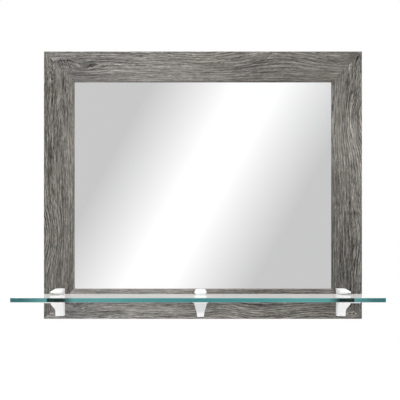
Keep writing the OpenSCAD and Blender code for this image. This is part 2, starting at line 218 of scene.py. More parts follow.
def eased_copy(
    node: str, name: str, ease_mm: float, segments: int = 2, crease: float = 40
) -> bpy.types.Object:
    """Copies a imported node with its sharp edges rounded.

    Args:
        node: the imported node.
        name: what the copy is called.
        ease_mm: how far the rounding reaches from each edge.
        segments: how many faces make up the rounding.
        crease: the angle in degrees from which an edge counts as sharp.

    Returns:
        The copy, as an object at the origin without modifiers.
    """
    piece = merged_copy(node, name)
    ease = piece.modifiers.new("ease", "BEVEL")
    ease.width = ease_mm * MM
    ease.segments = segments
    ease.limit_method = "ANGLE"
    ease.angle_limit = math.radians(crease)
    ease.miter_outer = "MITER_ARC"
    settle(piece)
    smooth(piece.data, crease)
    return piece


def solids_in(node: str) -> list[tuple[Vector, Vector]]:
    """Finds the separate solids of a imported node.

    Args:
        node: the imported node.

    Returns:
        The lowest and highest corner of each solid, in order of x, then z.
    """
    work = welded(node)
    left = set(work.verts)
    boxes = []
    while left:
        shell, edge = [], [left.pop()]
        while edge:
            vertex = edge.pop()
            shell.append(vertex.co.copy())
            for near in (e.other_vert(vertex) for e in vertex.link_edges):
                if near in left:
                    left.remove(near)
                    edge.append(near)
        boxes.append(tuple(Vector(pick(p[i] for p in shell) for i in range(3)) for pick in (min, max)))
    work.free()
    return sorted(boxes, key=lambda box: (round(box[0].x, 4), round(box[0].z, 4)))


# ---------- node trees ----------


@dataclass(frozen=True)
class Wire:
    """What comes out of a node. Arithmetic on it adds Math nodes.

    Attributes:
        sketch: the tree it is in.
        socket: the node's output.
    """

    sketch: "NodeSketch"
    socket: bpy.types.NodeSocket

    def __add__(self, other: "Feed") -> "Wire":
        """The sum."""
        return self.sketch.maths("ADD", self, other)

    def __sub__(self, other: "Feed") -> "Wire":
        """The difference."""
        return self.sketch.maths("SUBTRACT", self, other)

    def __rsub__(self, other: float) -> "Wire":
        """A number less this."""
        return self.sketch.maths("SUBTRACT", other, self)

    def __mul__(self, other: "Feed") -> "Wire":
        """The product."""
        return self.sketch.maths("MULTIPLY", self, other)

    def __truediv__(self, other: "Feed") -> "Wire":
        """The quotient."""
        return self.sketch.maths("DIVIDE", self, other)

    def __pow__(self, other: float) -> "Wire":
        """The power."""
        return self.sketch.maths("POWER", self, other)

    def __neg__(self) -> "Wire":
        """The same with its sign turned."""
        return self * -1.0

    def __abs__(self) -> "Wire":
        """The same without its sign."""
        return self.sketch.maths("ABSOLUTE", self)


Feed = Wire | list[Wire] | float | tuple[float, ...] | bool | bpy.types.Material


class NodeSketch:
    """Adds and links the nodes of one tree."""

    def __init__(self, tree: bpy.types.NodeTree) -> None:
        """Starts on an empty tree."""
        self.tree = tree
        self.tree.nodes.clear()

    def add(
        self,
        kind: str,
        feeds: dict[str | int, Feed] | None = None,
        outlet: str | int = 0,
        **settings: object,
    ) -> Wire:
        """Adds one node.

        Args:
            kind: Blender's name of the node type.
            feeds: what goes into its inputs, by name or number.
            outlet: the output to use, by name or number.
            **settings: the node's own properties.

        Returns:
            The chosen output.
        """
        node = self.tree.nodes.new(kind)
        for name, value in settings.items():
            setattr(node, name, value)
        for key, value in (feeds or {}).items():
            if isinstance(value, (Wire, list)):
                for wire in value if isinstance(value, list) else [value]:
                    self.tree.links.new(wire.socket, node.inputs[key])
            else:
                node.inputs[key].default_value = value
        return Wire(self, node.outputs[outlet])

    def maths(self, operation: str, *numbers: Feed) -> Wire:
        """The result of a Math node."""
        return self.add("ShaderNodeMath", dict(enumerate(numbers)), operation=operation)

    def vector(self, x: Feed, y: Feed, z: Feed) -> Wire:
        """A vector of three numbers."""
        return self.add("ShaderNodeCombineXYZ", {"X": x, "Y": y, "Z": z})

    def vector_maths(self, operation: str, feeds: dict[str | int, Feed], outlet: str = "Vector") -> Wire:
        """The result of a Vector Math node."""
        return self.add("ShaderNodeVectorMath", feeds, outlet, operation=operation)

    def parts(self, vector: Wire) -> tuple[Wire, Wire, Wire]:
        """The x, y and z of a vector."""
        node = self.add("ShaderNodeSeparateXYZ", {"Vector": vector}).socket.node
        return tuple(Wire(self, node.outputs[axis]) for axis in "XYZ")

    def span(self, value: Feed, low: float, high: float, at_low: Feed = 0.0, at_high: Feed = 1.0) -> Wire:
        """Goes from at_low to at_high as value goes from low to high, and no further.

        Args:
            value: what is measured.
            low: where the change starts.
            high: where the change ends.
            at_low: the result up to low.
            at_high: the result from high.

        Returns:
            The result.
        """
        feeds = {"Value": value, "From Min": low, "From Max": high, "To Min": at_low, "To Max": at_high}
        return self.add("ShaderNodeMapRange", feeds)


class ShaderSketch(NodeSketch):
    """Lays out one procedural material or the world."""

    def __init__(self, owner: bpy.types.Material | bpy.types.World) -> None:
        """Starts on an empty node tree.

        Args:
            owner: the material or world that gets the tree.
        """
        owner.use_nodes = True
        super().__init__(owner.node_tree)
        self.owner = owner

    @classmethod
    def material(cls, name: str) -> "ShaderSketch":
        """A sketch on a new material of that name."""
        return cls(bpy.data.materials.new(name))

    @cached_property
    def place(self) -> Wire:
        """The place on the object, in millimetres."""
        place = self.add("ShaderNodeTexCoord", outlet="Object")
        return self.vector_maths("SCALE", {0: place, "Scale": 1 / MM})

    def noise(
        self,
        size: Triple,
        seed: float,
        detail: float = 2.0,
        roughness: float = 0.5,
        place: Wire | None = None,
    ) -> Wire:
        """Soft noise from 0 to 1, with a mean of 0.5.

        Args:
            size: how long, wide and deep one feature is, in millimetres.
            seed: shifts the noise, so that two of one size differ.
            detail: how many finer layers are added.
            roughness: how strong those layers are.
            place: the place to read it at, in millimetres, where that isn't the place on the object.

        Returns:
            The noise.
        """
        shares = tuple(1 / s for s in size)
        shift = tuple(step * seed for step in SEED_STEP)
        at = self.vector_maths("MULTIPLY_ADD", {0: place or self.place, 1: shares, 2: shift})
        feeds = {"Vector": at, "Scale": 1.0, "Detail": detail, "Roughness": roughness}
        return self.add("ShaderNodeTexNoise", feeds)

    def sway(self, noise: Wire, reach: float) -> Wire:
        """Turns noise about 0.5 into a number about 0 that goes about reach each way."""
        return (noise - 0.5) * (3.0 * reach)

    def mixed(self, share: Feed, first: Feed, second: Feed, blend: str = "MIX") -> Wire:
        """Mixes two colours.

        Args:
            share: how much of the second colour there is.
            first: the first colour.
            second: the second colour.
            blend: how they combine.

        Returns:
            The mixed colour.
        """
        # A Mix node takes two colours at its inputs 6 and 7, and gives one at its output 2.
        feeds = {0: share, 6: first, 7: second}
        return self.add("ShaderNodeMix", feeds, outlet=2, data_type="RGBA", blend_type=blend)

    def scale(self, value: Wire, stops: Stops) -> Wire:
        """A colour scale.

        Args:
            value: where on the scale, 0 to 1.
            stops: two or more places on the scale, and their colours.

        Returns:
            The colour.
        """
        colour = self.add("ShaderNodeValToRGB", {"Fac": value})
        elements = colour.socket.node.color_ramp.elements
        for number, (place, tint) in enumerate(stops):
            if number >= len(elements):
                elements.new(1.0)
            elements[number].position = place
            elements[number].color = opaque(tint)
        return colour

    def mottled(self, noise: Wire, dark: Colour, light: Colour, spread: float = 0.15) -> Wire:
        """A colour between two, which noise reaches at that far below and above its mean."""
        return self.scale(noise, ((0.5 - spread, dark), (0.5 + spread, light)))

    def patchy(self, noise: Wire, low: float, high: float) -> Wire:
        """A number between two, over the range that noise mostly stays in."""
        return self.span(noise, *NOISE_RANGE, low, high)

    def bump(self, height: Wire, depth_mm: float) -> Wire:
        """The surface's direction with a relief of that depth."""
        return self.add("ShaderNodeBump", {"Height": height, "Distance": depth_mm * MM, "Strength": 1.0})

    def surface(self, shader: Wire) -> None:
        """Gives the owner its surface.

        Args:
            shader: the finished shader.
        """
        world = isinstance(self.owner, bpy.types.World)
        end = self.tree.nodes.new("ShaderNodeOutputWorld" if world else "ShaderNodeOutputMaterial")
        self.tree.links.new(shader.socket, end.inputs["Surface"])

    def finish(self, shader: Wire, slot: str) -> Finish:
        """Ends the material with that shader, for that slot of the record."""
        self.surface(shader)
        return Finish(self.owner, slot)

    def coated(self, slot: str, feeds: dict[str, Feed]) -> Finish:
        """Ends the material with a Principled shader, for that slot of the record."""
        return self.finish(self.add("ShaderNodeBsdfPrincipled", feeds), slot)


class GeometrySketch(NodeSketch):
    """Lays out a Geometry Nodes tree that puts copies of a small part at an object's points.

    Attributes:
        shank_sides: how many corners a screw's shank has.
        thread_steps: how many faces one turn of its thread has.
        core_share: the shank's radius, as a share of the thread's.
        tip_share: the radius of its tip, as a share of the thread's.
        ridge_share: half the width of the thread's ridge, as a share of its radius.
    """

    shank_sides: int = 20
    thread_steps: int = 14
    core_share: float = 0.8
    tip_share: float = 0.1
    ridge_share: float = 0.195

    def __init__(self, name: str) -> None:
        """Starts a tree with its way in and out.

        Args:
            name: what the tree is called.
        """
        super().__init__(bpy.data.node_groups.new(name, "GeometryNodeTree"))
        for way in ("INPUT", "OUTPUT"):
            self.tree.interface.new_socket("Geometry", in_out=way, socket_type="NodeSocketGeometry")
        self.entry = self.tree.nodes.new("NodeGroupInput")
        self.exit = self.tree.nodes.new("NodeGroupOutput")

    def inlet(self, label: str, kind: str) -> Wire:
        """Adds a named input of that kind."""
        self.tree.interface.new_socket(label, in_out="INPUT", socket_type=f"NodeSocket{kind}")
        return Wire(self, self.entry.outputs[label])

    def sizes(self, *labels: str) -> list[Wire]:
        """Adds a named input for each size."""
        return [self.inlet(label, "Float") for label in labels]

    def point(self) -> tuple[Wire, Wire, Wire]:
        """The place of each point of a mesh."""
        return self.parts(self.add("GeometryNodeInputPosition"))

    def moved(self, geometry: Wire, x: Feed = 0.0, y: Feed = 0.0, z: Feed = 0.0, **feeds: Feed) -> Wire:
        """The geometry moved by that much, and changed as feeds say."""
        feeds |= {"Geometry": geometry, "Translation": self.vector(x, y, z)}
        return self.add("GeometryNodeTransform", feeds)

    def joined(self, *parts: Wire) -> Wire:
        """The parts in one geometry."""
        return self.add("GeometryNodeJoinGeometry", {0: list(parts)})

    def cut(self, block: Wire, *cutters: Wire) -> Wire:
        """The block with the cutters taken out of it."""
        feeds = {"Mesh 1": block, "Mesh 2": list(cutters)}
        return self.add("GeometryNodeMeshBoolean", feeds, operation="DIFFERENCE", solver="EXACT")

    def flipped(self, mesh: Wire) -> Wire:
        """The mesh with its faces turned over."""
        return self.add("GeometryNodeFlipFaces", {"Mesh": mesh})

    def block(self, x: Feed, y: Feed, z: Feed) -> Wire:
        """A block of that size about the origin."""
        return self.add("GeometryNodeMeshCube", {"Size": self.vector(x, y, z)})

    def drum(self, radius: Wire, depth: Wire, sides: int, rings: int = 1, bands: int = 1) -> Wire:
        """A cylinder that stands on z = 0.

        Args:
            radius: its radius.
            depth: its height.
            sides: how many corners it has.
            rings: how many rings of faces its ends have.
            bands: how many bands of faces its side has.

        Returns:
            The mesh.
        """
        feeds = {"Vertices": sides, "Side Segments": bands, "Fill Segments": rings}
        feeds |= {"Radius": radius, "Depth": depth}
        fill = "NGON" if rings == 1 else "TRIANGLE_FAN"
        return self.moved(self.add("GeometryNodeMeshCylinder", feeds, fill_type=fill), z=depth * 0.5)

    def turned(self, drum: Wire, pull: Wire, sink: Feed = 1.0) -> Wire:
        """Shapes a cylinder that stands on z = 0.

        Args:
            drum: the cylinder.
            pull: the share of each point's way from the Z axis that stays.
            sink: the share of its height that stays.

        Returns:
            The new mesh.
        """
        x, y, z = self.point()
        place = self.vector(x * pull, y * pull, z * sink)
        return self.add("GeometryNodeSetPosition", {"Geometry": drum, "Position": place})

    def threaded(self, radius: Wire, length: Wire, point: Feed, pitch: Wire) -> Wire:
        """A screw's shank, which hangs below z = 0.

        Args:
            radius: the thread's outer radius.
            length: the shank's whole length.
            point: how much of the length is its point.
            pitch: how far the thread climbs in a turn.

        Returns:
            The mesh.
        """
        sides, core, straight = self.shank_sides, radius * self.core_share, length - point
        rod = self.moved(self.drum(core, straight, sides), z=-straight)
        feeds = {"Vertices": sides, "Radius Top": radius * self.tip_share, "Radius Bottom": core}
        cone = self.add("GeometryNodeMeshCone", feeds | {"Depth": point})
        tip = self.flipped(self.moved(cone, z=-straight, Scale=(1.0, 1.0, -1.0)))
        feeds = {"Resolution": self.thread_steps, "Rotations": straight / pitch, "Height": straight}
        helix = self.add("GeometryNodeCurveSpiral", feeds | {"Start Radius": core, "End Radius": core})
        feeds = {"Resolution": 4, "Radius": radius * self.ridge_share}
        ridge = self.add("GeometryNodeCurvePrimitiveCircle", feeds, mode="RADIUS")
        feeds = {"Curve": helix, "Profile Curve": ridge, "Fill Caps": True}
        return self.joined(rod, tip, self.moved(self.add("GeometryNodeCurveToMesh", feeds), z=-straight))

    def finish(self, part: Wire, tilt: float, spin: Feed = 0.0) -> bpy.types.NodeTree:
        """Puts the part at every point and ends the tree.

        Args:
            part: the geometry to repeat, made along +Z.
            tilt: how far it turns about X.
            spin: how far each copy then turns about Y.

        Returns:
            The finished tree.
        """
        points = Wire(self, self.entry.outputs["Geometry"])
        feeds = {"Points": points, "Instance": part, "Rotation": self.vector(tilt, spin, 0.0)}
        copies = self.add("GeometryNodeInstanceOnPoints", feeds)
        real = self.add("GeometryNodeRealizeInstances", {"Geometry": copies})
        feeds = {"Geometry": real, "Material": self.inlet("Material", "Material")}
        dressed = self.add("GeometryNodeSetMaterial", feeds)
        self.tree.links.new(dressed.socket, self.exit.inputs["Geometry"])
        return self.tree


@dataclass
class Repeated:
    """A small part that stands at several places, made by a Geometry Nodes tree.

    Attributes:
        tree: the tree that makes it.
        sizes: the tree's named inputs, in metres where they are lengths.
        finish: its finish.
        crease: the angle in degrees from which an edge counts as sharp.
    """

    tree: bpy.types.NodeTree
    sizes: dict[str, float]
    finish: Finish
    crease: float = 35

    def build(self, name: str, node: str, places: list[Vector], turns: list[float] | None = None) -> None:
        """Makes the copies as one plain mesh.

        Args:
            name: what the object is called.
            node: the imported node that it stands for.
            places: where the copies stand.
            turns: how far each is turned, where the tree reads "turn".
        """
        points = bpy.data.meshes.new(name)
        points.from_pydata([tuple(p) for p in places], [], [])
        if turns is not None:
            points.attributes.new("turn", "FLOAT", "POINT").data.foreach_set("value", turns)
        piece = linked(name, points)
        maker = piece.modifiers.new("maker", "NODES")
        maker.node_group = self.tree
        values = {**self.sizes, "Material": self.finish.material}
        for item in self.tree.interface.items_tree:
            if item.in_out == "INPUT" and item.name in values:
                maker[item.identifier] = values[item.name]
        settle(piece)
        smooth(piece.data, self.crease)
        stand_for(piece, node)


# ---------- the wood ----------


@dataclass(frozen=True)
class Arch:
    """Where the grain of a board rises into an arch.

    Attributes:
        at: its middle along the board, in millimetres from the board's middle.
        reach: how far it reaches along the board each way, in millimetres.
        rise: how far it lifts the grain at the outer edge away from that edge, in millimetres.
        boldness: how much stronger the rings are in it.
    """

    at: float
    reach: float
    rise: float
    boldness: float = 0.5


@dataclass(frozen=True)
class Figure:
    """A dark or light place in the grain, such as a knot.

    Attributes:
        at: its middle along the board, in millimetres from the board's middle.
        across: its middle across the board, in millimetres from the outer edge.
        length: how far it reaches along the board each way, in millimetres.
        width: how far it reaches across the board each way, in millimetres.
        shade: how much it lightens the wood, or darkens it where negative, 0 to 1.
        swirl: how far the grain bends round it, in millimetres.
        ragged: how much its edge follows the grain, 0 to 1.
        curl: how far the grain wriggles in it, in millimetres.
    """

    at: float
    across: float
    length: float
    width: float
    shade: float
    swirl: float = 0.0
    ragged: float = 0.6
    curl: float = 0.0


@dataclass(frozen=True)
class GrainNoise:
    """One layer of noise in the wood.

    Attributes:
        size: how long, wide and deep one feature is, in millimetres.
        seed: what it adds to the board's own seed.
        strength: how far it sways what it acts on, each way.
        detail: how many finer layers are added.
        roughness: how strong those are.
        stretched: whether a board's reach makes it longer.
    """

    size: Triple
    seed: float
    strength: float
    detail: float = 2.0
    roughness: float = 0.5
    stretched: bool = False


# These three bend the lines of the grain, by millimetres.
WANDER = GrainNoise((150, 40, 40), 0, 2.2, 1.0)
RIPPLE = GrainNoise((17, 6, 6), 3, 0.5)
WRIGGLE = GrainNoise((4.5, 3, 3), 51, 1.0)

# These two shift the growth rings, by radians, and say where they are bold.
RING_DRIFT = GrainNoise((110, 22, 22), 27, 3.0)
RING_BOLD = GrainNoise((80, 20, 20), 33, 0.0, 1.0)

# These lighten and darken the wood, and the last one warms and cools its grey.
BROAD = GrainNoise((150, 9, 9), 5, 0.07)
STREAK = GrainNoise((52, 1.7, 1.7), 9, 0.25, 4.0, 0.7, True)
HAIR = GrainNoise((8, 0.95, 0.95), 14, 0.15, 2.0, 0.6, True)
DASH = GrainNoise((22, 1.4, 1.4), 37, 0.16, 2.0, 0.6, True)
CLOUD = GrainNoise((260, 45, 45), 41, 0.05)
PORE = GrainNoise((9, 0.4, 0.5), 21, 0.06, 1.0)
HUE = GrainNoise((140, 30, 30), 45, 0.3, 1.0)


class Lie(Enum):
    """How a frame member lies.

    Attributes:
        node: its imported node.
        grain_axis: 0 where the grain runs along X, 2 where it runs along Z.
        outward: the side of its outer edge on the other axis, 1 or -1.
    """

    TOP = ("top_rail", 0, 1)
    BOTTOM = ("bottom_rail", 0, -1)
    LEFT = ("left_stile", 2, -1)
    RIGHT = ("right_stile", 2, 1)

    def __init__(self, node: str, grain_axis: int, outward: int) -> None:
        """Names the three values of a member."""
        self.node, self.grain_axis, self.outward = node, grain_axis, outward


@dataclass(frozen=True)
class WeatheredWood:
    """Grey weathered oak with its own figure on each board, and bare wood behind.

    Attributes:
        lie: the member it is on.
        level: how light the board is on a screen, 0 to 1.
        drift: how much lighter that becomes over the length of the board.
        arches: where the grain rises into arches.
        figures: its knots and dark or light places.
        seed: which piece of noise the board shows.
        warmth: how warm the grey is at the board's start and at its end, 0 to 1.
        reach: how long its streaks are, where 1 is long.
        strong_across: how strong the grain is at the outer edge and at the inner edge.
        strong_along: how strong it is at the board's start and at its end.
        ring_mm: how far apart the growth rings are.
        ring_depth: how much the rings lighten and darken the wood.
        arch_mm: from where to where across the board an arch fades.
        arch_left: how much of an arch's rise is left beyond that.
        lightness: how dark and how light any place may be on a screen, 0 to 1.
        screen_power: turns lightness on a screen into light.
        cool: the tint of the coolest grey.
        warm: the tint of the warmest grey.
        bare: the darkest and the lightest colour of the bare wood.
        bare_mm: how far before the back the grey starts to end, and where it has ended.
    """

    lie: Lie
    level: float
    drift: float
    arches: tuple[Arch, ...]
    figures: tuple[Figure, ...]
    seed: float
    warmth: tuple[float, float] = (0.7, 0.7)
    reach: float = 0.9
    strong_across: tuple[float, float] = (1.25, 0.85)
    strong_along: tuple[float, float] = (1.0, 1.0)
    ring_mm: float = 5.4
    ring_depth: float = 0.045
    arch_mm: tuple[float, float] = (6.0, 52.0)
    arch_left: float = 0.1
    lightness: tuple[float, float] = (0.12, 0.85)
    screen_power: float = 2.2
    cool: Colour = (1.05, 1.0, 0.955)
    warm: Colour = (1.07, 1.0, 0.885)
    bare: tuple[Colour, Colour] = (from_screen(160, 128, 88), from_screen(196, 166, 124))
    bare_mm: tuple[float, float] = (0.5, 0.2)

    def make(self) -> Finish:
        """Makes the board's finish.

        Returns:
            The finish.
        """
        sketch = BoardSketch(self)
        line = sketch.line()
        grain = sketch.vector(sketch.along, line, sketch.depth)
        streak, hair, pore = (sketch.layer(kind, grain) for kind in (STREAK, HAIR, PORE))
        pores = sketch.span(pore, 0.6, 0.75)
        tone = sketch.sway(streak, STREAK.strength) + sketch.sway(hair, HAIR.strength)
        tone += sketch.swayed(BROAD, grain) + sketch.swayed(DASH, grain) + sketch.swayed(CLOUD)
        tone += sketch.rings(line) - pores * PORE.strength
        tone *= sketch.span(sketch.across, 0.0, sketch.width, *self.strong_across)
        tone *= sketch.lengthwise(self.strong_along)
        for figure in self.figures:
            tone += sketch.shade(figure, streak)
        level = tone + sketch.lengthwise((self.level - self.drift / 2, self.level + self.drift / 2))
        light = sketch.span(level, *self.lightness, *self.lightness) ** self.screen_power
        warmth = sketch.swayed(HUE) + sketch.lengthwise(self.warmth)
        tint = sketch.scale(warmth, ((0.0, self.cool), (1.0, self.warm)))
        grey = sketch.vector_maths("SCALE", {0: tint, "Scale": light})
        bare = sketch.mottled(streak, *self.bare, 0.2)
        ragged = sketch.depth + sketch.sway(hair, 0.1)
        behind = sketch.span(ragged, *(sketch.thickness - before for before in self.bare_mm))
        feeds = {
            "Base Color": sketch.mixed(behind, grey, bare),
            "Roughness": sketch.patchy(streak, 0.72, 0.56),
            "Specular IOR Level": 0.3,
            "Normal": sketch.bump(streak - pores * 0.6, 0.25),
        }
        return sketch.coated("weathered_wood", feeds)


class BoardSketch(ShaderSketch):
    """Lays out the grain of one board, with places and sizes in millimetres."""

    def __init__(self, wood: WeatheredWood) -> None:
        """Finds where the board lies.

        Args:
            wood: what the board is like.
        """
        super().__init__(bpy.data.materials.new(f"weathered_wood_{wood.lie.name.lower()}"))
        self.wood = wood
        low, high = (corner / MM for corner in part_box(wood.lie.node))
        long, wide = wood.lie.grain_axis, 2 - wood.lie.grain_axis
        size, middle = high - low, (low + high) / 2
        self.length, self.width, self.thickness = size[long], size[wide], size.y
        edge = (high if wood.lie.outward > 0 else low)[wide]
        place = self.parts(self.place)
        self.along = place[long] - middle[long]
        self.across = (place[wide] - edge) * -wood.lie.outward
        self.depth = place[1] - low.y
        self.board = self.vector(self.along, self.across, self.depth)

    def lengthwise(self, ends: tuple[float, float]) -> Wire:
        """Goes from the first number to the second over the length of the board."""
        return self.span(self.along, -self.length / 2, self.length / 2, *ends)

    def layer(self, kind: GrainNoise, place: Wire | None = None) -> Wire:
        """One layer of noise, from 0 to 1.

        Args:
            kind: which layer.
            place: the place in the grain, or nothing for the place on the board.

        Returns:
            The noise.
        """
        length, width, depth = kind.size
        size = (length * self.wood.reach if kind.stretched else length, width, depth)
        return self.noise(size, self.wood.seed + kind.seed, kind.detail, kind.roughness, place or self.board)

    def swayed(self, kind: GrainNoise, place: Wire | None = None) -> Wire:
        """One layer of noise, as a number about 0."""
        return self.sway(self.layer(kind, place), kind.strength)

    def line(self) -> Wire:
        """Numbers the lines of the grain.

        Returns:
            A number that stays the same along one line of the grain.
        """
        wood = self.wood
        line = self.across + self.swayed(WANDER) + self.swayed(RIPPLE)
        for arch in wood.arches:
            lift = self.span(self.across, *wood.arch_mm, -arch.rise, -wood.arch_left * arch.rise)
            line += self.near_arch(arch) * lift
        wriggle = self.swayed(WRIGGLE)
        for figure in wood.figures:
            if figure.swirl:
                line += self.near_figure(figure) * figure.swirl
            if figure.curl:
                line += self.near_figure(figure) * wriggle * figure.curl
        return line

    def bell(self, square: Wire) -> Wire:
        """1 where a squared distance is 0, and falling to 0 beyond 1 or 2."""
        return self.maths("EXPONENT", -square)

    def near_arch(self, arch: Arch) -> Wire:
        """How near a place is to the middle of an arch, 0 to 1."""
        share = (self.along - arch.at) / arch.reach
        return self.bell(share * share)

    def near_figure(self, figure: Figure) -> Wire:
        """How near a place is to the middle of a figure, 0 to 1.

        Args:
            figure: the figure.

        Returns:
            How near.
        """
        offset = self.vector_maths("SUBTRACT", {0: self.board, 1: (figure.at, figure.across, 0.0)})
        share = self.vector_maths("MULTIPLY", {0: offset, 1: (1 / figure.length, 1 / figure.width, 0.0)})
        return self.bell(self.vector_maths("DOT_PRODUCT", {0: share, 1: share}, "Value"))

    def rings(self, line: Wire) -> Wire:
        """Draws the dark and light lines of the growth rings.

        Args:
            line: the number of the grain's line.

        Returns:
            How much they lighten a place, more in some places and near an arch.
        """
        swing = self.maths("SINE", line * (TURN / self.wood.ring_mm) + self.swayed(RING_DRIFT))
        bold = self.span(self.layer(RING_BOLD), 0.38, 0.62, 0.15, 1.0)
        for arch in self.wood.arches:
            bold += self.near_arch(arch) * arch.boldness
        return swing * bold * self.wood.ring_depth

    def shade(self, figure: Figure, streak: Wire) -> Wire:
        """How much a figure lightens a place, with an edge that follows the streaks."""
        torn = self.span(streak, 0.4, 0.6, 1.0, 1.0 - figure.ragged)
        return self.near_figure(figure) * torn * figure.shade


# ---------- other finishes ----------


@dataclass(frozen=True)
class SilveredGlass:
    """The silvered face of the pane, and the painted back of its silver.

    Attributes:
        reflectance: the share of light that the mirror gives back.
        paint: the colour of the paint behind the silver.
    """

    reflectance: float = 0.9
    paint: Colour = from_screen(96, 104, 104)

    def face(self) -> Finish:
        """Makes the mirror itself, with the faint unevenness of float glass.

        Returns:
            The finish.
        """
        sketch = ShaderSketch.material("silvered_mirror")
        wave = sketch.noise((260, 200, 320), seed=2.0, detail=1.0)
        share = self.reflectance
        colour = sketch.mottled(wave, (share, share, share), (share * 0.993, share, share * 0.997))
        return sketch.coated("mirror", {"Base Color": colour, "Metallic": 1.0, "Roughness": 0.0})

    def back(self) -> Finish:
        """Makes the paint on the back of the silver.

        Returns:
            The finish.
        """
        sketch = ShaderSketch.material("mirror_backing_paint")
        speck = sketch.noise((6, 6, 6), seed=3.0, detail=4.0)
        colour = sketch.mottled(speck, tuple(c * 0.8 for c in self.paint), self.paint)
        feeds = {"Base Color": colour, "Roughness": 0.55, "Normal": sketch.bump(speck, 0.05)}
        return sketch.coated("mirror", feeds)


@dataclass(frozen=True)
class Card:
    """Brown corrugated card."""

    light: Colour = from_screen(190, 158, 116)
    dark: Colour = from_screen(158, 126, 88)

    def make(self) -> Finish:
        """Makes the finish.

        Returns:
            The finish.
        """
        sketch = ShaderSketch.material("corrugated_card")
        fibre = sketch.noise((5, 1.5, 0.8), seed=1.0, detail=4.0, roughness=0.7)
        blotch = sketch.noise((60, 20, 60), seed=4.0)
        colour = sketch.mottled(blotch * 0.4 + fibre * 0.6, self.dark, self.light)
        feeds = {"Base Color": colour, "Roughness": 0.85, "Normal": sketch.bump(fibre, 0.1)}
        return sketch.coated("cardboard", feeds)


@dataclass(frozen=True)
class Hardboard:
    """Brown hardboard with its smooth face out."""

    dark: Colour = from_screen(98, 68, 44)
    light: Colour = from_screen(140, 104, 70)
    fleck: Colour = from_screen(178, 140, 98)

    def make(self) -> Finish:
        """Makes the finish.

        Returns:
            The finish.
        """
        sketch = ShaderSketch.material("hardboard")
        fibre = sketch.noise((2.2, 2.2, 1.4), seed=6.0, detail=4.0, roughness=0.75)
        cloud = sketch.noise((70, 70, 90), seed=8.0, detail=3.0)
        flecks = sketch.span(sketch.noise((1.4, 1.4, 4.0), seed=13.0, detail=1.0), 0.7, 0.8, 0.0, 0.5)
        brown = sketch.mottled(cloud * 0.25 + fibre * 0.75, self.dark, self.light, 0.14)
        feeds = {
            "Base Color": sketch.mixed(flecks, brown, opaque(self.fleck)),
            "Roughness": sketch.patchy(fibre, 0.42, 0.6),
            "Normal": sketch.bump(fibre, 0.06),
        }
        return sketch.coated("hardboard", feeds)


@dataclass(frozen=True)
class ZincPlate:
    """Bright zinc on steel: satin, with a faint cloud of blue and yellow."""

    blue: Colour = from_screen(196, 200, 206)
    plain: Colour = from_screen(210, 211, 210)
    yellow: Colour = from_screen(214, 210, 198)

    def make(self) -> Finish:
        """Makes the finish.

        Returns:
            The finish.
        """
        sketch = ShaderSketch.material("zinc_plated_steel")
        cloud = sketch.noise((9, 9, 9), seed=3.0)
        brushed = sketch.noise((0.25, 0.25, 4.0), seed=7.0)
        feeds = {
            "Base Color": sketch.scale(cloud, ((0.35, self.blue), (0.5, self.plain), (0.65, self.yellow))),
            "Metallic": 1.0,
            "Roughness": sketch.patchy(brushed, 0.24, 0.42),
            "Normal": sketch.bump(brushed, 0.01),
        }
        return sketch.coated("zinc_plated_steel", feeds)


@dataclass(frozen=True)
class Rubber:
    """Soft rubber, clear or black.

    Attributes:
        name: what the material and its slot are called.
        light: its colour where it is clean.
        dark: its colour where dust or wear dulls it.
        roughness: how matt it is.
        depth_mm: how far light goes into it.
    """

    name: str
    light: Colour
    dark: Colour
    roughness: float
    depth_mm: float

    def make(self) -> Finish:
        """Makes the finish.

        Returns:
            The finish.
        """
        sketch = ShaderSketch.material(self.name)
        dust = sketch.noise((2.5, 2.5, 2.5), seed=5.0, detail=3.0, roughness=0.6)
        feeds = {
            "Base Color": sketch.mottled(dust, self.dark, self.light),
            "Roughness": sketch.patchy(dust, self.roughness, self.roughness + 0.12),
            "Normal": sketch.bump(dust, 0.02),
        }
        if self.depth_mm:
            feeds |= {"Subsurface Weight": 0.4, "Subsurface Scale": self.depth_mm * MM}
        return sketch.coated(self.name, feeds)


CLEAR_RUBBER = Rubber("clear_rubber", from_screen(248, 249, 248), from_screen(240, 242, 241), 0.3, 2.0)
BLACK_RUBBER = Rubber("black_rubber", from_screen(44, 44, 45), from_screen(30, 30, 31), 0.6, 0.0)


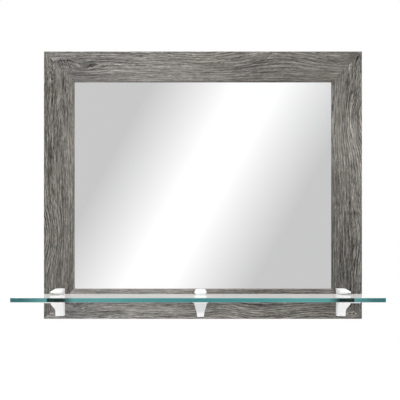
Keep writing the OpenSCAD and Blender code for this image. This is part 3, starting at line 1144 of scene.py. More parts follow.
@dataclass(frozen=True)
class WhiteEnamel:
    """White stoved enamel on a casting: matt, with a faint orange peel, and painted shade between two
    heights where asked.

    Attributes:
        name: what the material is called.
        painted_shade_mm: the heights between which shade is painted into its colour, as on the face of the
            middle bracket's body.
        light: its colour where it is cleanest.
        shade: its colour where it is dullest.
        grey: the painted shade, as how much light the shaded part keeps.
        fade_mm: over what height the painted shade starts, at its lower end.
        stop_mm: over what height it stops, at its upper end.
    """

    name: str = "white_enamel"
    painted_shade_mm: tuple[float, float] | None = None
    light: Colour = (0.97, 0.97, 0.968)
    shade: Colour = (0.925, 0.925, 0.92)
    grey: Colour = (0.81, 0.81, 0.825)
    fade_mm: float = 5.0
    stop_mm: float = 2.0

    def make(self) -> Finish:
        """Makes the finish.

        Returns:
            The finish.
        """
        sketch = ShaderSketch.material(self.name)
        cloud = sketch.noise((18, 18, 18), seed=2.0, detail=1.0)
        peel = sketch.noise((0.9, 0.9, 0.9), seed=6.0, detail=1.0)
        white = sketch.mottled(cloud, self.shade, self.light, 0.35)
        # Painted shade: the colour is darkened between two heights, standing in for the shade on the middle
        # bracket's downward-facing face.
        if self.painted_shade_mm:
            low, high = self.painted_shade_mm
            z = sketch.parts(sketch.place)[2]
            above = sketch.span(z, low - self.fade_mm / 2, low + self.fade_mm / 2)
            below = sketch.span(z, high - self.stop_mm / 2, high + self.stop_mm / 2, 1.0, 0.0)
            white = sketch.mixed(above * below, white, opaque(self.grey), "MULTIPLY")
        feeds = {
            "Base Color": white,
            "Roughness": sketch.patchy(cloud, 0.46, 0.56),
            "Specular IOR Level": 0.2,
            "Normal": sketch.bump(peel, 0.015),
        }
        return sketch.coated("white_enamel", feeds)


@dataclass(frozen=True)
class DarkStretch:
    """A stretch of the shelf's front edge painted dark, standing in for a bracket seen through the glass, in
    millimetres of x.

    Attributes:
        clear_before: where it starts.
        dark_from: from where it is fully dark.
        dark_to: to where it is fully dark.
        clear_after: where it ends.
    """

    clear_before: float
    dark_from: float
    dark_to: float
    clear_after: float

    def share(self, sketch: ShaderSketch, x: Wire) -> Wire:
        """How much painted dark a place has, 0 to 1."""
        rise = sketch.span(x, self.clear_before, self.dark_from)
        return rise * sketch.span(x, self.dark_to, self.clear_after, 1.0, 0.0)


@dataclass(frozen=True)
class ShelfGlass:
    """Clear float glass: faces with a painted white sheen at a low angle, and green polished edges.

    Attributes:
        middle_mm: the middle of the shelf's length, along X.
        underside_mm: the height of its underside.
        thickness_mm: the thickness of the glass.
        stretches: where dark is painted on its edge for the brackets seen through the glass.
        half_mm: the distance from the middle at which the tones end.
        tones: the colours of the edge from the middle, 0, to the ends, 1: its own green, made lighter and
            darker along its length by painted light of what shows through the glass.
        painted_dark_tones: the painted colours of a dark stretch, over its noise.
        rim: the colour the edge turns towards its top corner and, less, towards its bottom one.
        sheen: how white the painted sheen makes the faces from straight above, and how much whiter at the
            lowest angle.
        sheen_power: how low that angle has to be.
        sheen_most: how white they get at most.
    """

    middle_mm: float
    underside_mm: float
    thickness_mm: float
    stretches: tuple[DarkStretch, ...] = (
        DarkStretch(-282.6, -280, -252, -234),
        DarkStretch(225, 246, 270.8, 271.8),
    )
    half_mm: float = 340.0
    tones: Stops = (
        (0.0, from_screen(60, 130, 133)),
        (0.3, from_screen(68, 138, 140)),
        (0.52, from_screen(86, 152, 151)),
        (0.82, from_screen(86, 147, 147)),
        (0.93, from_screen(54, 105, 108)),
        (1.0, from_screen(46, 103, 106)),
    )
    painted_dark_tones: Stops = ((0.38, from_screen(0, 14, 12)), (0.66, from_screen(10, 50, 46)))
    rim: Colour = from_screen(170, 205, 198)
    sheen: tuple[float, float] = (0.05, 1.28)
    sheen_power: float = 5.0
    sheen_most: float = 0.98

    def seen_from_inside(self, sketch: ShaderSketch, shader: Wire, tint: Colour) -> Finish:
        """Ends a material so that a look from inside the glass passes.

        Args:
            sketch: the material's sketch.
            shader: what a look from outside sees.
            tint: what a look from inside takes on.

        Returns:
            The finish.
        """
        inside = sketch.add("ShaderNodeNewGeometry", outlet="Backfacing")
        clear = sketch.add("ShaderNodeBsdfTransparent", {"Color": opaque(tint)})
        either = sketch.add("ShaderNodeMixShader", {0: inside, 1: shader, 2: clear})
        return sketch.finish(either, "shelf_glass")

    def faces(self) -> Finish:
        """Makes the broad faces: clear from above, and at a low angle white with a painted sheen, a white
        diffuse layer that stands in for reflected light.

        Returns:
            The finish.
        """
        sketch = ShaderSketch.material("shelf_glass_face")
        facing = sketch.add("ShaderNodeLayerWeight", {"Blend": 0.5}, outlet="Facing")
        least, more = self.sheen
        sheen = sketch.maths("MINIMUM", facing**self.sheen_power * more + least, self.sheen_most)
        sheen_mottle = sketch.noise((90, 40, 40), seed=4.0)
        white = sketch.mottled(sheen_mottle, (0.95, 0.94, 0.93), (0.98, 0.97, 0.96))
        # Painted sheen: a white diffuse layer, mixed in at a low angle, stands in for the white that the
        # faces reflect.
        painted_sheen_film = sketch.add("ShaderNodeBsdfDiffuse", {"Color": white})
        gloss = sketch.add("ShaderNodeBsdfGlossy", {"Color": opaque((0.97, 0.97, 0.97)), "Roughness": 0.0})
        shown = sketch.add("ShaderNodeMixShader", {0: 0.5, 1: painted_sheen_film, 2: gloss})
        clear = sketch.add("ShaderNodeBsdfTransparent", {"Color": opaque((0.955, 0.985, 0.975))})
        outside = sketch.add("ShaderNodeMixShader", {0: sheen, 1: clear, 2: shown})
        return self.seen_from_inside(sketch, outside, (0.98, 0.99, 0.985))

    def edges(self) -> Finish:
        """Makes the polished edges, green with the depth of glass behind them.

        Returns:
            The finish.
        """
        sketch = ShaderSketch.material("shelf_glass_edge")
        x, _, z = sketch.parts(sketch.place)
        # The glass's own green, with painted light and shade along its length.
        colour = sketch.scale(abs(x - self.middle_mm) / self.half_mm, self.tones)
        # Painted see-through: dark stretches stand in for the brackets seen through the glass edge.
        dark = sketch.scale(sketch.noise((9, 9, 5), seed=11.0), self.painted_dark_tones)
        for stretch in self.stretches:
            colour = sketch.mixed(stretch.share(sketch, x), colour, dark)
        rise = (z - self.underside_mm) / self.thickness_mm
        corners = sketch.span(rise, 0.75, 0.98, 0.0, 0.3) + sketch.span(rise, 0.3, 0.02, 0.0, 0.15)
        feeds = {
            "Base Color": sketch.mixed(corners, colour, opaque(self.rim)),
            "Roughness": sketch.patchy(sketch.noise((3, 3, 1), seed=2.0), 0.06, 0.14),
            "IOR": 1.52,
            "Specular IOR Level": 0.25,
        }
        return self.seen_from_inside(sketch, sketch.add("ShaderNodeBsdfPrincipled", feeds), (0.8, 0.93, 0.9))


# ---------- sub-assemblies ----------


@dataclass
class WoodFrame:
    """The four mitred members and the V nails in the backs of their joints."""

    boards: tuple[WeatheredWood, ...]
    ease_mm: float = 0.35
    v_nail_leg: float = 5 * MM
    v_nail_thickness: float = 0.5 * MM
    v_nail_depth: float = 10 * MM

    def build(self, zinc: Finish) -> None:
        """Builds the members and the V nails.

        Args:
            zinc: the finish of the V nails.
        """
        for board in self.boards:
            node = board.lie.node
            dress(eased_copy(node, f"{node}_board", self.ease_mm), node, board.make())
        self.build_v_nails(zinc)

    def build_v_nails(self, zinc: Finish) -> None:
        """Drives a V nail into the back of the mitres at each of its places.

        Args:
            zinc: their finish.
        """
        node = "corner_v_nails"
        sketch = GeometrySketch("v_nail")
        leg, thick, deep = sketch.sizes("Leg", "Thickness", "Depth")
        half, down = leg * 0.5, deep * -0.5
        first, second = sketch.block(leg, thick, deep), sketch.block(thick, leg, deep)
        part = sketch.joined(sketch.moved(first, x=half, z=down), sketch.moved(second, y=half, z=down))
        turn = sketch.add("GeometryNodeInputNamedAttribute", {"Name": "turn"}, data_type="FLOAT")
        tree = sketch.finish(part, -TURN / 4, turn)
        sizes = {"Leg": self.v_nail_leg, "Thickness": self.v_nail_thickness, "Depth": self.v_nail_depth}
        low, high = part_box(node)
        middle = (low + high) / 2
        places, turns = [], []
        for below, above in solids_in(node):
            right, up = (below + above).x / 2 > middle.x, (below + above).z / 2 > middle.z
            places.append(Vector((above.x if right else below.x, high.y, above.z if up else below.z)))
            turns.append({(0, 1): 0.0, (1, 1): 0.25, (1, 0): 0.5, (0, 0): 0.75}[right, up] * TURN)
        Repeated(tree, sizes, zinc).build("v_nails", node, places, turns)


@dataclass
class Glazing:
    """The mirror pane, the corrugated sheet that cushions it and the hardboard back.

    Attributes:
        pane_ease_mm: how far the pane's edges are eased.
        back_ease_mm: how far the back's edges are eased.
        flute_pitch: the length of one wave of the cushion.
        flute_steps: how many faces make up one wave.
        liner: the thickness of the cushion's paper.
        layers: how many corrugated layers the cushion has.
    """

    pane_ease_mm: float = 0.3
    back_ease_mm: float = 0.4
    flute_pitch: float = 7.2 * MM
    flute_steps: float = 10.0
    liner: float = 0.35 * MM
    layers: int = 2

    def build(self, silver: SilveredGlass, card: Finish, board: Finish) -> None:
        """Builds the three sheets.

        Args:
            silver: the mirror's finish.
            card: the cushion's finish.
            board: the back's finish.
        """
        pane = eased_copy("mirror_pane", "silvered_pane", self.pane_ease_mm, 1)
        for face in pane.data.polygons:
            face.material_index = 1 if face.normal.y < -0.5 else 0
        dress(pane, "mirror_pane", silver.back(), silver.face())
        self.build_cushion(card)
        dress(eased_copy("backing_board", "hardboard_back", self.back_ease_mm), "backing_board", board)

    def build_cushion(self, card: Finish) -> None:
        """Builds the corrugated sheet: liners with flutes between them.

        Args:
            card: its finish.
        """
        labels = ("Width", "Height", "Thickness", "Pitch", "Liner")
        sketch = GeometrySketch("corrugated_layer")
        width, height, thick, pitch, liner = sketch.sizes(*labels)
        columns = width / pitch * self.flute_steps + 1.0
        feeds = {"Size X": width, "Size Y": height, "Vertices X": columns, "Vertices Y": 2}
        sheet = sketch.add("GeometryNodeMeshGrid", feeds)
        wave = sketch.maths("SINE", sketch.point()[0] * TURN / pitch) * (thick * 0.5 - liner * 2.0)
        feeds = {"Geometry": sheet, "Offset": sketch.vector(0.0, 0.0, wave)}
        fluted = sketch.add("GeometryNodeSetPosition", feeds)
        feeds = {"Mesh": fluted, "Offset Scale": liner, "Individual": False}
        skin = sketch.add("GeometryNodeExtrudeMesh", feeds, mode="FACES")
        flute = sketch.joined(skin, sketch.flipped(fluted))
        plate, away = sketch.block(width, height, liner), (thick - liner) * 0.5
        part = sketch.joined(flute, sketch.moved(plate, z=away), sketch.moved(plate, z=-away))
        tree = sketch.finish(part, -TURN / 4)
        low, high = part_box("cushion_sheet")
        size, middle = high - low, (low + high) / 2
        layer = size.y / self.layers
        sizes = dict(zip(labels, (size.x, size.z, layer, self.flute_pitch, self.liner)))
        places = [Vector((middle.x, low.y + layer * (i + 0.5), middle.z)) for i in range(self.layers)]
        Repeated(tree, sizes, card, 50).build("corrugated_cushion", "cushion_sheet", places)


@dataclass(frozen=True)
class ScrewKind:
    """A kind of cross head screw.

    Attributes:
        nodes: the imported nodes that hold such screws.
        thread: the thread's outer radius.
        pitch: how far the thread climbs in a turn.
        point: how long the point is.
        dome: the head's height as a share of its radius.
    """

    nodes: tuple[str, ...]
    thread: float
    pitch: float
    point: float
    dome: float


WOOD_SCREW = ScrewKind(("turn_button_screws", "hanger_screws"), 1.5 * MM, 1.35 * MM, 4 * MM, 0.63)
MACHINE_SCREW = ScrewKind(("bracket_fixing_screws",), 2 * MM, 0.7 * MM, 0.4 * MM, 2 / 3)


@dataclass
class Screws:
    """The screws that are driven in from behind.

    Attributes:
        recess_width: the width of the cross recess, as a share of the head's radius.
        recess_length: its length, as a share of the head's radius.
        recess_depth: its depth, as a share of the head's height.
        head_fall: how far the square of the head's height falls from its middle to its rim.
        head_draw: how much narrower its top is than its foot.
        seed: which turns the screws are left at.
    """

    recess_width: float = 0.3
    recess_length: float = 1.13
    recess_depth: float = 0.58
    head_fall: float = 0.6
    head_draw: float = 0.1
    seed: int = 11

    def build(self, zinc: Finish) -> None:
        """Builds the three sets of screws.

        Args:
            zinc: their finish.
        """
        tree = self.tree()
        for kind in (WOOD_SCREW, MACHINE_SCREW):
            for node in kind.nodes:
                self.build_set(tree, kind, node, zinc)

    def tree(self) -> bpy.types.NodeTree:
        """Makes the tree of one screw with a domed head and a cross recess.

        Returns:
            The finished tree.
        """
        sketch = GeometrySketch("cross_head_screw")
        radius, height, shank = sketch.sizes("Head radius", "Head height", "Shank radius")
        length, point, pitch = sketch.sizes("Length", "Point", "Pitch")
        slot_l, slot_w, slot_d = sketch.sizes("Recess length", "Recess width", "Recess depth")
        x, y, z = sketch.point()
        out = sketch.maths("SQRT", x * x + y * y) / radius
        dome = sketch.maths("SQRT", out * out * -self.head_fall + 1.0)
        pull = (z / height) ** 4.0 * -self.head_draw + 1.0
        head = sketch.turned(sketch.drum(radius, height, 32, 6, 4), pull, dome)
        bars = (sketch.block(*size, slot_d * 2.0) for size in ((slot_l, slot_w), (slot_w, slot_l)))
        cut = sketch.cut(head, *(sketch.moved(bar, z=height) for bar in bars))
        part = sketch.joined(cut, sketch.threaded(shank, length, point, pitch))
        # A Random Value node takes its limits at inputs 2 and 3, and gives its number at output 1.
        feeds = {2: 0.0, 3: TURN / 4, "Seed": self.seed}
        spin = sketch.add("FunctionNodeRandomValue", feeds, outlet=1, data_type="FLOAT")
        return sketch.finish(part, -TURN / 4, spin)

    def build_set(self, tree: bpy.types.NodeTree, kind: ScrewKind, node: str, zinc: Finish) -> None:
        """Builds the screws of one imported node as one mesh.

        Args:
            tree: the screw's tree.
            kind: which kind they are.
            node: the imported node.
            zinc: their finish.
        """
        boxes = solids_in(node)
        low, high = boxes[0]
        radius = (high.x - low.x) / 2
        height = radius * kind.dome
        sizes = {
            "Head radius": radius,
            "Head height": height,
            "Shank radius": kind.thread,
            "Length": high.y - low.y - height,
            "Point": kind.point,
            "Pitch": kind.pitch,
            "Recess length": radius * self.recess_length,
            "Recess width": radius * self.recess_width,
            "Recess depth": height * self.recess_depth,
        }
        seats = [Vector(((a.x + b.x) / 2, b.y - height, (a.z + b.z) / 2)) for a, b in boxes]
        Repeated(tree, sizes, zinc).build(f"{node}_cross_head", node, seats)


@dataclass
class WallHardware:
    """The turn buttons, the hanger straps and rings, and the wall bumpers.

    Attributes:
        buttons: where the turn buttons are.
        plate_ease_mm: how far the edges of the buttons and straps are eased.
        bumper_taper: how much narrower a bumper is towards the wall.
        bumper_curl: how far its rim curls in there.
    """

    buttons: tuple[str, ...] = ("top_left", "top_right", "bottom_left", "bottom_right", "left", "right")
    plate_ease_mm: float = 0.18
    bumper_taper: float = 0.185
    bumper_curl: float = 0.12

    def build(self, zinc: Finish, rubber: Finish) -> None:
        """Builds the hardware on the frame's back.

        Args:
            zinc: the finish of the metal.
            rubber: the finish of the bumpers.
        """
        for place in self.buttons:
            self.build_plate(f"turn_button_{place}", zinc)
        for side in ("left", "right"):
            self.build_plate(f"hanger_strap_{side}", zinc)
            node = f"hanger_ring_{side}"
            ring = merged_copy(node, f"{node}_wire")
            smooth(ring.data, 50)
            dress(ring, node, zinc)
        self.build_bumpers(rubber)

    def build_plate(self, node: str, zinc: Finish) -> None:
        """Builds one button or strap."""
        dress(eased_copy(node, f"{node}_plate", self.plate_ease_mm), node, zinc)

    def build_bumpers(self, rubber: Finish) -> None:
        """Builds the four bumpers, tapered and rounded towards the wall.

        Args:
            rubber: their finish.
        """
        sketch = GeometrySketch("wall_bumper")
        radius, height, taper = sketch.sizes("Radius", "Height", "Taper")
        up = sketch.point()[2] / height
        pull = 1.0 - (up * taper + up**9.0 * self.bumper_curl)
        tree = sketch.finish(sketch.turned(sketch.drum(radius, height, 40, 4, 8), pull), -TURN / 4)
        boxes = solids_in("wall_bumpers")
        low, high = boxes[0]
        sizes = {"Radius": (high.x - low.x) / 2, "Height": high.y - low.y, "Taper": self.bumper_taper}
        places = [Vector(((a.x + b.x) / 2, a.y, (a.z + b.z) / 2)) for a, b in boxes]
        Repeated(tree, sizes, rubber, 50).build("bumpers", "wall_bumpers", places)


@dataclass
class Shelf:
    """The glass shelf."""

    node: str = "glass_shelf"

    def build(self) -> None:
        """Builds the shelf with clear faces and green edges."""
        low, high = (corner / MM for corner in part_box(self.node))
        glass = ShelfGlass((low.x + high.x) / 2, low.z, high.z - low.z)
        piece = merged_copy(self.node, "shelf_glass_plate")
        for face in piece.data.polygons:
            face.material_index = 1 if abs(face.normal.z) > 0.95 else 0
        smooth(piece.data, 25)
        dress(piece, self.node, glass.edges(), glass.faces())


@dataclass
class ClampBrackets:
    """The three brackets that clamp the shelf, each with its body, jaw, pads, screw and ring.

    Attributes:
        cast_ease_mm: how far the castings' edges are rounded.
        pad_ease_mm: how far the pads' edges are eased.
        ring_ease_mm: how far the retaining rings' edges are eased.
        screw_pitch: how far a clamp screw climbs in a turn.
        screw_point: how long its point is.
        knurls: how many grooves its head has.
        knurl_depth: how deep they are, as a share of the head's radius.
        rim_curl: how far the head's rim curls in, as a share of its radius.
        head_share: the head's radius, as a multiple of the shank's.
        socket_share: the radius of the hexagon socket, as a share of the head's.
        socket_foot: where in the head's height the socket starts.
    """

    cast_ease_mm: float = 0.6
    pad_ease_mm: float = 0.3
    ring_ease_mm: float = 0.1
    screw_pitch: float = 0.7 * MM
    screw_point: float = 0.3 * MM
    knurls: int = 36
    knurl_depth: float = 0.035
    rim_curl: float = 0.07
    head_share: float = 1.7
    socket_share: float = 0.51
    socket_foot: float = 0.4

    def build(self, enamel: Finish, body_enamel_with_painted_shade: Finish, zinc: Finish, clear: Finish, black: Finish) -> None:
        """Builds every bracket.

        Args:
            enamel: the finish of the castings.
            body_enamel_with_painted_shade: the finish of the middle bracket's body, with shade painted on
                its face.
            zinc: the finish of the screws and rings.
            clear: the finish of the clear pads.
            black: the finish of the end brackets' lower pads.
        """
        screw = self.screw_tree()
        for side in ("left", "centre", "right"):
            body, lower = (body_enamel_with_painted_shade, clear) if side == "centre" else (enamel, black)
            for node, finish in ((f"bracket_body_{side}", body), (f"upper_jaw_{side}", enamel)):
                dress(eased_copy(node, f"{node}_casting", self.cast_ease_mm, 3, 32), node, finish)
            for node, finish in ((f"upper_pad_{side}", clear), (f"lower_pad_{side}", lower)):
                dress(eased_copy(node, f"{node}_rubber", self.pad_ease_mm), node, finish)
            node = f"retaining_ring_{side}"
            dress(eased_copy(node, f"{node}_clip", self.ring_ease_mm, 1), node, zinc)
            self.build_screw(screw, f"clamp_screw_{side}", zinc)

    def screw_tree(self) -> bpy.types.NodeTree:
        """Makes the tree of one socket head cap screw with a knurled head.

        Returns:
            The finished tree.
        """
        sketch = GeometrySketch("socket_head_screw")
        radius, height, shank = sketch.sizes("Head radius", "Head height", "Shank radius")
        length, pitch, hexagon = sketch.sizes("Length", "Pitch", "Socket radius")
        up = sketch.point()[2] / height
        groove = sketch.maths("MODULO", sketch.add("GeometryNodeInputIndex"), 2.0) * self.knurl_depth
        knurled = groove * sketch.span(up, 0.1, 0.2) * sketch.span(up, 0.85, 0.75)
        pull = 1.0 - knurled - sketch.span(up, 0.86, 1.0) * self.rim_curl
        head = sketch.turned(sketch.drum(radius, height, 2 * self.knurls, 1, 8), pull)
        socket = sketch.moved(sketch.drum(hexagon, height, 6), z=height * self.socket_foot)
        shaft = sketch.threaded(shank, length, self.screw_point, pitch)
        return sketch.finish(sketch.joined(sketch.cut(head, socket), shaft), TURN / 2)

    def build_screw(self, tree: bpy.types.NodeTree, node: str, zinc: Finish) -> None:
        """Builds one clamp screw, whose head is as high as its radius.

        Args:
            tree: the screw's tree.
            node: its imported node.
            zinc: its finish.
        """
        low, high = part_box(node)
        radius = (high.x - low.x) / 2
        sizes = {
            "Head radius": radius,
            "Head height": radius,
            "Shank radius": radius / self.head_share,
            "Length": high.z - low.z - radius,
            "Pitch": self.screw_pitch,
            "Socket radius": radius * self.socket_share,
        }
        seat = Vector(((low.x + high.x) / 2, (low.y + high.y) / 2, low.z + radius))
        Repeated(tree, sizes, zinc, 30).build(f"{node}_socket_head", node, [seat])


# ---------- studio ----------


@dataclass(frozen=True)
class PhotoCamera:
    """The camera of the photograph: level, square to the wall, and shifted up a little."""

    place: Triple = (-0.006, -1.224, -0.2936)
    lens_mm: float = 53.09
    sensor_mm: float = 36.0
    shift_up: float = 0.14875
    nearest: float = 0.05

    def build(self) -> None:
        """Puts the camera in the scene."""
        data = bpy.data.cameras.new("photo_camera")
        data.lens = self.lens_mm
        data.sensor_width = self.sensor_mm
        data.shift_y = self.shift_up
        data.clip_start = self.nearest
        camera = linked("photo_camera", data)
        camera.location = self.place
        camera.rotation_euler = (TURN / 4, 0.0, 0.0)
        bpy.context.scene.camera = camera


@dataclass(frozen=True)
class SoftLamp:
    """A square lamp that looks at the middle of the object, and that gloss doesn't show.

    Attributes:
        name: what it is called.
        place: where it stands.
        size: the length of its sides.
        share: the light that it gives to a face turned towards it, where 1 shows a colour as written.
    """

    name: str
    place: Triple
    size: float
    share: float

    def build(self) -> None:
        """Puts the lamp in the scene."""
        way = (CAD_BOX[0] + CAD_BOX[1]) / 2 - Vector(self.place)
        data = bpy.data.lights.new(self.name, "AREA")
        data.size = self.size
        data.energy = self.share * math.pi**2 * way.length_squared
        lamp = linked(self.name, data)
        lamp.location = self.place
        lamp.rotation_euler = way.to_track_quat("-Z", "Y").to_euler()
        lamp.visible_glossy = False


LAMPS = (
    SoftLamp("left_lamp", (-2.0, -1.15, 1.5), 1.6, 0.48),
    SoftLamp("right_lamp", (2.0, -1.15, 1.5), 1.6, 0.56),
    SoftLamp("back_lamp", (-1.0, 2.4, 0.9), 1.5, 0.35),
)


@dataclass(frozen=True)
class Studio:
    """A pale floor, soft lamps, and a sky that is white to see and grey with a bright band in mirrors.

    The band is what the silvered pane shows in the photograph. Directions are measured as a mirror that
    faces the camera sees them: sideways and upward shares of the way towards the camera.

    Attributes:
        reflectance: the share of light that the mirror gives back, which the band makes up for.
        lamps: the soft lamps.
        white: the colour of the sky, and of the floor's glow.
        sky: the light that the sky gives to surfaces.
        floor: the colour of the floor.
        floor_glow: how much the floor is lightened for the camera and in gloss.
        floor_z: the height of the floor.
        floor_half: half the floor's width.
        floor_fade_mm: from where to where along Y the floor turns grey in the mirror.
        band_lean: how far the band moves sideways for each step up.
        band_middle: where its middle lies, level with the camera.
        band_full: half the width of its brightest part.
        band_end: half its whole width.
        band_grey: how light the mirror looks beside the band, on a screen, 0 to 1.
        band_foot: how far down the band is gone, and how far down it is still whole.
        ahead: from where to where on the way towards the camera the mirror's sky turns white again.
        least_ahead: the least share of that way that shares are measured against.
        screen_power: turns lightness on a screen into light.
    """

    reflectance: float
    lamps: tuple[SoftLamp, ...] = LAMPS
    white: Colour = (1.0, 1.0, 1.0)
    sky: float = 0.62
    floor: Colour = (0.8, 0.8, 0.8)
    floor_glow: float = 0.5
    floor_z: float = -1.0
    floor_half: float = 3.0
    floor_fade_mm: tuple[float, float] = (-300.0, -2200.0)
    band_lean: float = 0.548
    band_middle: float = -0.0648
    band_full: float = 0.044
    band_end: float = 0.181
    band_grey: float = 200 / 255
    band_foot: tuple[float, float] = (-0.2, -0.07)
    ahead: tuple[float, float] = (-0.25, -0.05)
    least_ahead: float = 0.05
    screen_power: float = 2.25

    def build(self) -> None:
        """Builds the sky, the floor and the lamps."""
        bpy.context.scene.view_settings.view_transform = "Standard"
        self.build_sky()
        self.build_floor()
        for lamp in self.lamps:
            lamp.build()

    def ray(self, sketch: ShaderSketch, kind: str) -> Wire:
        """1 for rays of that kind."""
        return sketch.add("ShaderNodeLightPath", outlet=f"Is {kind} Ray")

    def seen(self, sketch: ShaderSketch) -> Wire:
        """1 for rays that look at the background: from the camera, off gloss or through glass."""
        camera, glossy, through = (self.ray(sketch, kind) for kind in ("Camera", "Glossy", "Transmission"))
        return sketch.maths("MAXIMUM", sketch.maths("MAXIMUM", camera, glossy), through)

    def build_sky(self) -> None:
        """Builds the world."""
        world = bpy.data.worlds.new("studio_sky")
        bpy.context.scene.world = world
        sketch = ShaderSketch(world)
        x, y, z = sketch.parts(sketch.add("ShaderNodeTexCoord", outlet="Generated"))
        ahead = sketch.maths("MAXIMUM", -y, self.least_ahead)
        offset = (x - z * self.band_lean) / ahead - self.band_middle
        bright = sketch.span(z / ahead, *self.band_foot, self.band_grey, 1.0)
        share = sketch.span(abs(offset), self.band_end, self.band_full, self.band_grey, bright)
        band = share**self.screen_power / self.reflectance
        mirrored = sketch.span(y, *self.ahead, 1.0, 0.0) * self.ray(sketch, "Glossy")
        colour = sketch.mixed(mirrored, opaque(self.white), sketch.vector(band, band, band))
        shown = sketch.add("ShaderNodeBackground", {"Color": colour, "Strength": 1.0})
        light = sketch.add("ShaderNodeBackground", {"Color": opaque(self.white), "Strength": self.sky})
        sketch.surface(sketch.add("ShaderNodeMixShader", {0: self.seen(sketch), 1: light, 2: shown}))

    def build_floor(self) -> None:
        """Builds the floor, which looks white, takes the object's shadow and fades to grey in the mirror."""
        half, z = self.floor_half, self.floor_z
        mesh = bpy.data.meshes.new("floor")
        corners = [(-half, -half, z), (half, -half, z), (half, half, z), (-half, half, z)]
        mesh.from_pydata(corners, [], [(0, 1, 2, 3)])
        floor = linked("floor", mesh)
        sketch = ShaderSketch.material("pale_floor")
        matt = sketch.add("ShaderNodeBsdfDiffuse", {"Color": opaque(self.floor)})
        feeds = {"Color": opaque(self.white), "Strength": self.seen(sketch) * self.floor_glow}
        near = sketch.add("ShaderNodeAddShader", {0: matt, 1: sketch.add("ShaderNodeEmission", feeds)})
        level = self.band_grey**self.screen_power / self.reflectance
        grey = sketch.add("ShaderNodeEmission", {"Color": opaque(self.white), "Strength": level})
        in_front = sketch.span(sketch.parts(sketch.place)[1], *self.floor_fade_mm)
        mirrored = in_front * self.ray(sketch, "Glossy")
        sketch.surface(sketch.add("ShaderNodeMixShader", {0: mirrored, 1: near, 2: grey}))
        mesh.materials.append(sketch.owner)


# ---------- the boards of this mirror ----------

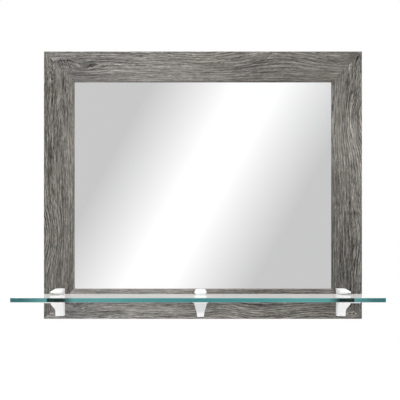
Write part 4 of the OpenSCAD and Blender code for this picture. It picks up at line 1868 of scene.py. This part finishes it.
# An arch's numbers are at, reach, rise and boldness. A figure's are at, across, length, width and shade,
# then swirl, ragged and curl where it has them.
BOARDS = (
    WeatheredWood(
        Lie.TOP,
        level=0.472,
        drift=-0.11,
        arches=(Arch(156, 80, -18, 0.45), Arch(10, 60, 5)),
        figures=(
            Figure(-255, 30, 75, 60, -0.075, 0, 0.0),
            Figure(-100, 30, 60, 60, 0.02, 0, 0.0),
            Figure(120, 30, 80, 60, -0.025, 0, 0.0),
            Figure(110, 36, 100, 16, -0.04, 0, 0.0),
            Figure(-298, 22, 30, 22, 0.03, 0, 0.0, 2.2),
            Figure(-288, 24, 20, 12, -0.1, 5, 1.0, 3.0),
            Figure(-285, 14, 30, 6, -0.14, 5, 1.0),
            Figure(-246, 35, 30, 7, -0.13, -5, 1.0, 2.0),
            Figure(-225, 20, 50, 9, -0.07, 5, 1.0),
            Figure(125, 22, 30, 5, -0.14, 0, 1.0),
            Figure(308, 8, 9, 7, -0.16, 4),
        ),
        seed=3.0,
        warmth=(0.1, 0.9),
        strong_across=(1.3, 0.75),
        strong_along=(1.25, 0.75),
    ),
    WeatheredWood(
        Lie.BOTTOM,
        level=0.492,
        drift=-0.1,
        arches=(Arch(37, 45, 9), Arch(120, 55, -6), Arch(240, 60, 7)),
        figures=(
            Figure(-80, 40, 70, 60, 0.045, 0, 0.0),
            Figure(128, 30, 45, 60, -0.05, 0, 0.0),
            Figure(-262, 24, 34, 14, -0.06, 7, 1.0, 3.0),
            Figure(120, 30, 40, 8, -0.14, 0, 1.0),
            Figure(296, 17, 12, 6, 0.07, 9, 0.6, 3.0),
            Figure(303, 8, 14, 5, -0.09, 8, 0.8, 3.0),
        ),
        seed=17.0,
        warmth=(0.1, 0.9),
    ),
    WeatheredWood(
        Lie.LEFT,
        level=0.42,
        drift=-0.01,
        arches=(Arch(-103, 50, 14, 1.2),),
        figures=(
            Figure(248, 26, 30, 20, -0.03, 0, 0.0, 2.4),
            Figure(190, 40, 46, 6, -0.13, 5, 1.0),
            Figure(170, 30, 24, 4, 0.16, -4, 1.0),
            Figure(214, 20, 36, 11, -0.1, -5, 1.0, 2.0),
            Figure(228, 30, 40, 4, 0.1, 3, 1.0),
            Figure(118, 30, 36, 5, -0.1, 4, 1.0),
            Figure(96, 44, 30, 4, 0.08, -3, 1.0),
            Figure(68, 16, 34, 6, -0.14, 3, 1.0),
            Figure(-10, 40, 50, 5, -0.08),
            Figure(240, 10, 35, 16, 0.05, 0, 0.0),
            Figure(60, 54, 60, 16, 0.035, 0, 0.0),
            Figure(-168, 8, 40, 14, 0.045, 0, 0.0),
        ),
        seed=31.0,
        warmth=(0.85, 0.85),
        reach=0.75,
        strong_along=(0.95, 1.15),
    ),
    WeatheredWood(
        Lie.RIGHT,
        level=0.408,
        drift=0.13,
        arches=(Arch(135, 60, 27, 1.2), Arch(-120, 70, -7, 0.3)),
        figures=(
            Figure(240, 30, 60, 60, -0.07, 0, 0.0),
            Figure(85, 30, 50, 60, 0.03, 0, 0.0),
            Figure(178, 13, 30, 7, -0.14, 5, 1.0),
            Figure(172, 32, 36, 4, -0.14, 0, 1.0),
            Figure(110, 18, 20, 5, 0.14, 4, 1.0),
            Figure(262, 8, 10, 7, -0.16, 5),
            Figure(238, 25, 14, 2.5, 0.16, 3),
            Figure(-150, 40, 110, 12, -0.05),
            Figure(-130, 8, 70, 14, -0.04, 0, 0.0),
            Figure(60, 30, 60, 14, 0.045, 0, 0.0),
            Figure(8, 56, 24, 14, -0.05, 0, 0.0),
        ),
        seed=47.0,
        warmth=(0.75, 0.8),
        reach=0.75,
        strong_across=(1.4, 0.85),
    ),
)


def main() -> None:
    """Builds the camera, the studio and every sub-assembly, in order."""
    logging.basicConfig(level=logging.INFO, format="%(name)s: %(message)s")
    PhotoCamera().build()
    silver = SilveredGlass()
    Studio(silver.reflectance).build()
    zinc = ZincPlate().make()
    clear, black = CLEAR_RUBBER.make(), BLACK_RUBBER.make()
    WoodFrame(BOARDS).build(zinc)
    Glazing().build(silver, Card().make(), Hardboard().make())
    Screws().build(zinc)
    WallHardware().build(zinc, clear)
    Shelf().build()
    # The middle bracket's body gets shade painted on its face between these heights.
    enamel, body_enamel_with_painted_shade = WhiteEnamel().make(), WhiteEnamel("painted_shade_enamel", (-401.0, -378.0)).make()
    ClampBrackets().build(enamel, body_enamel_with_painted_shade, zinc, clear, black)


if __name__ == "__main__":
    main()
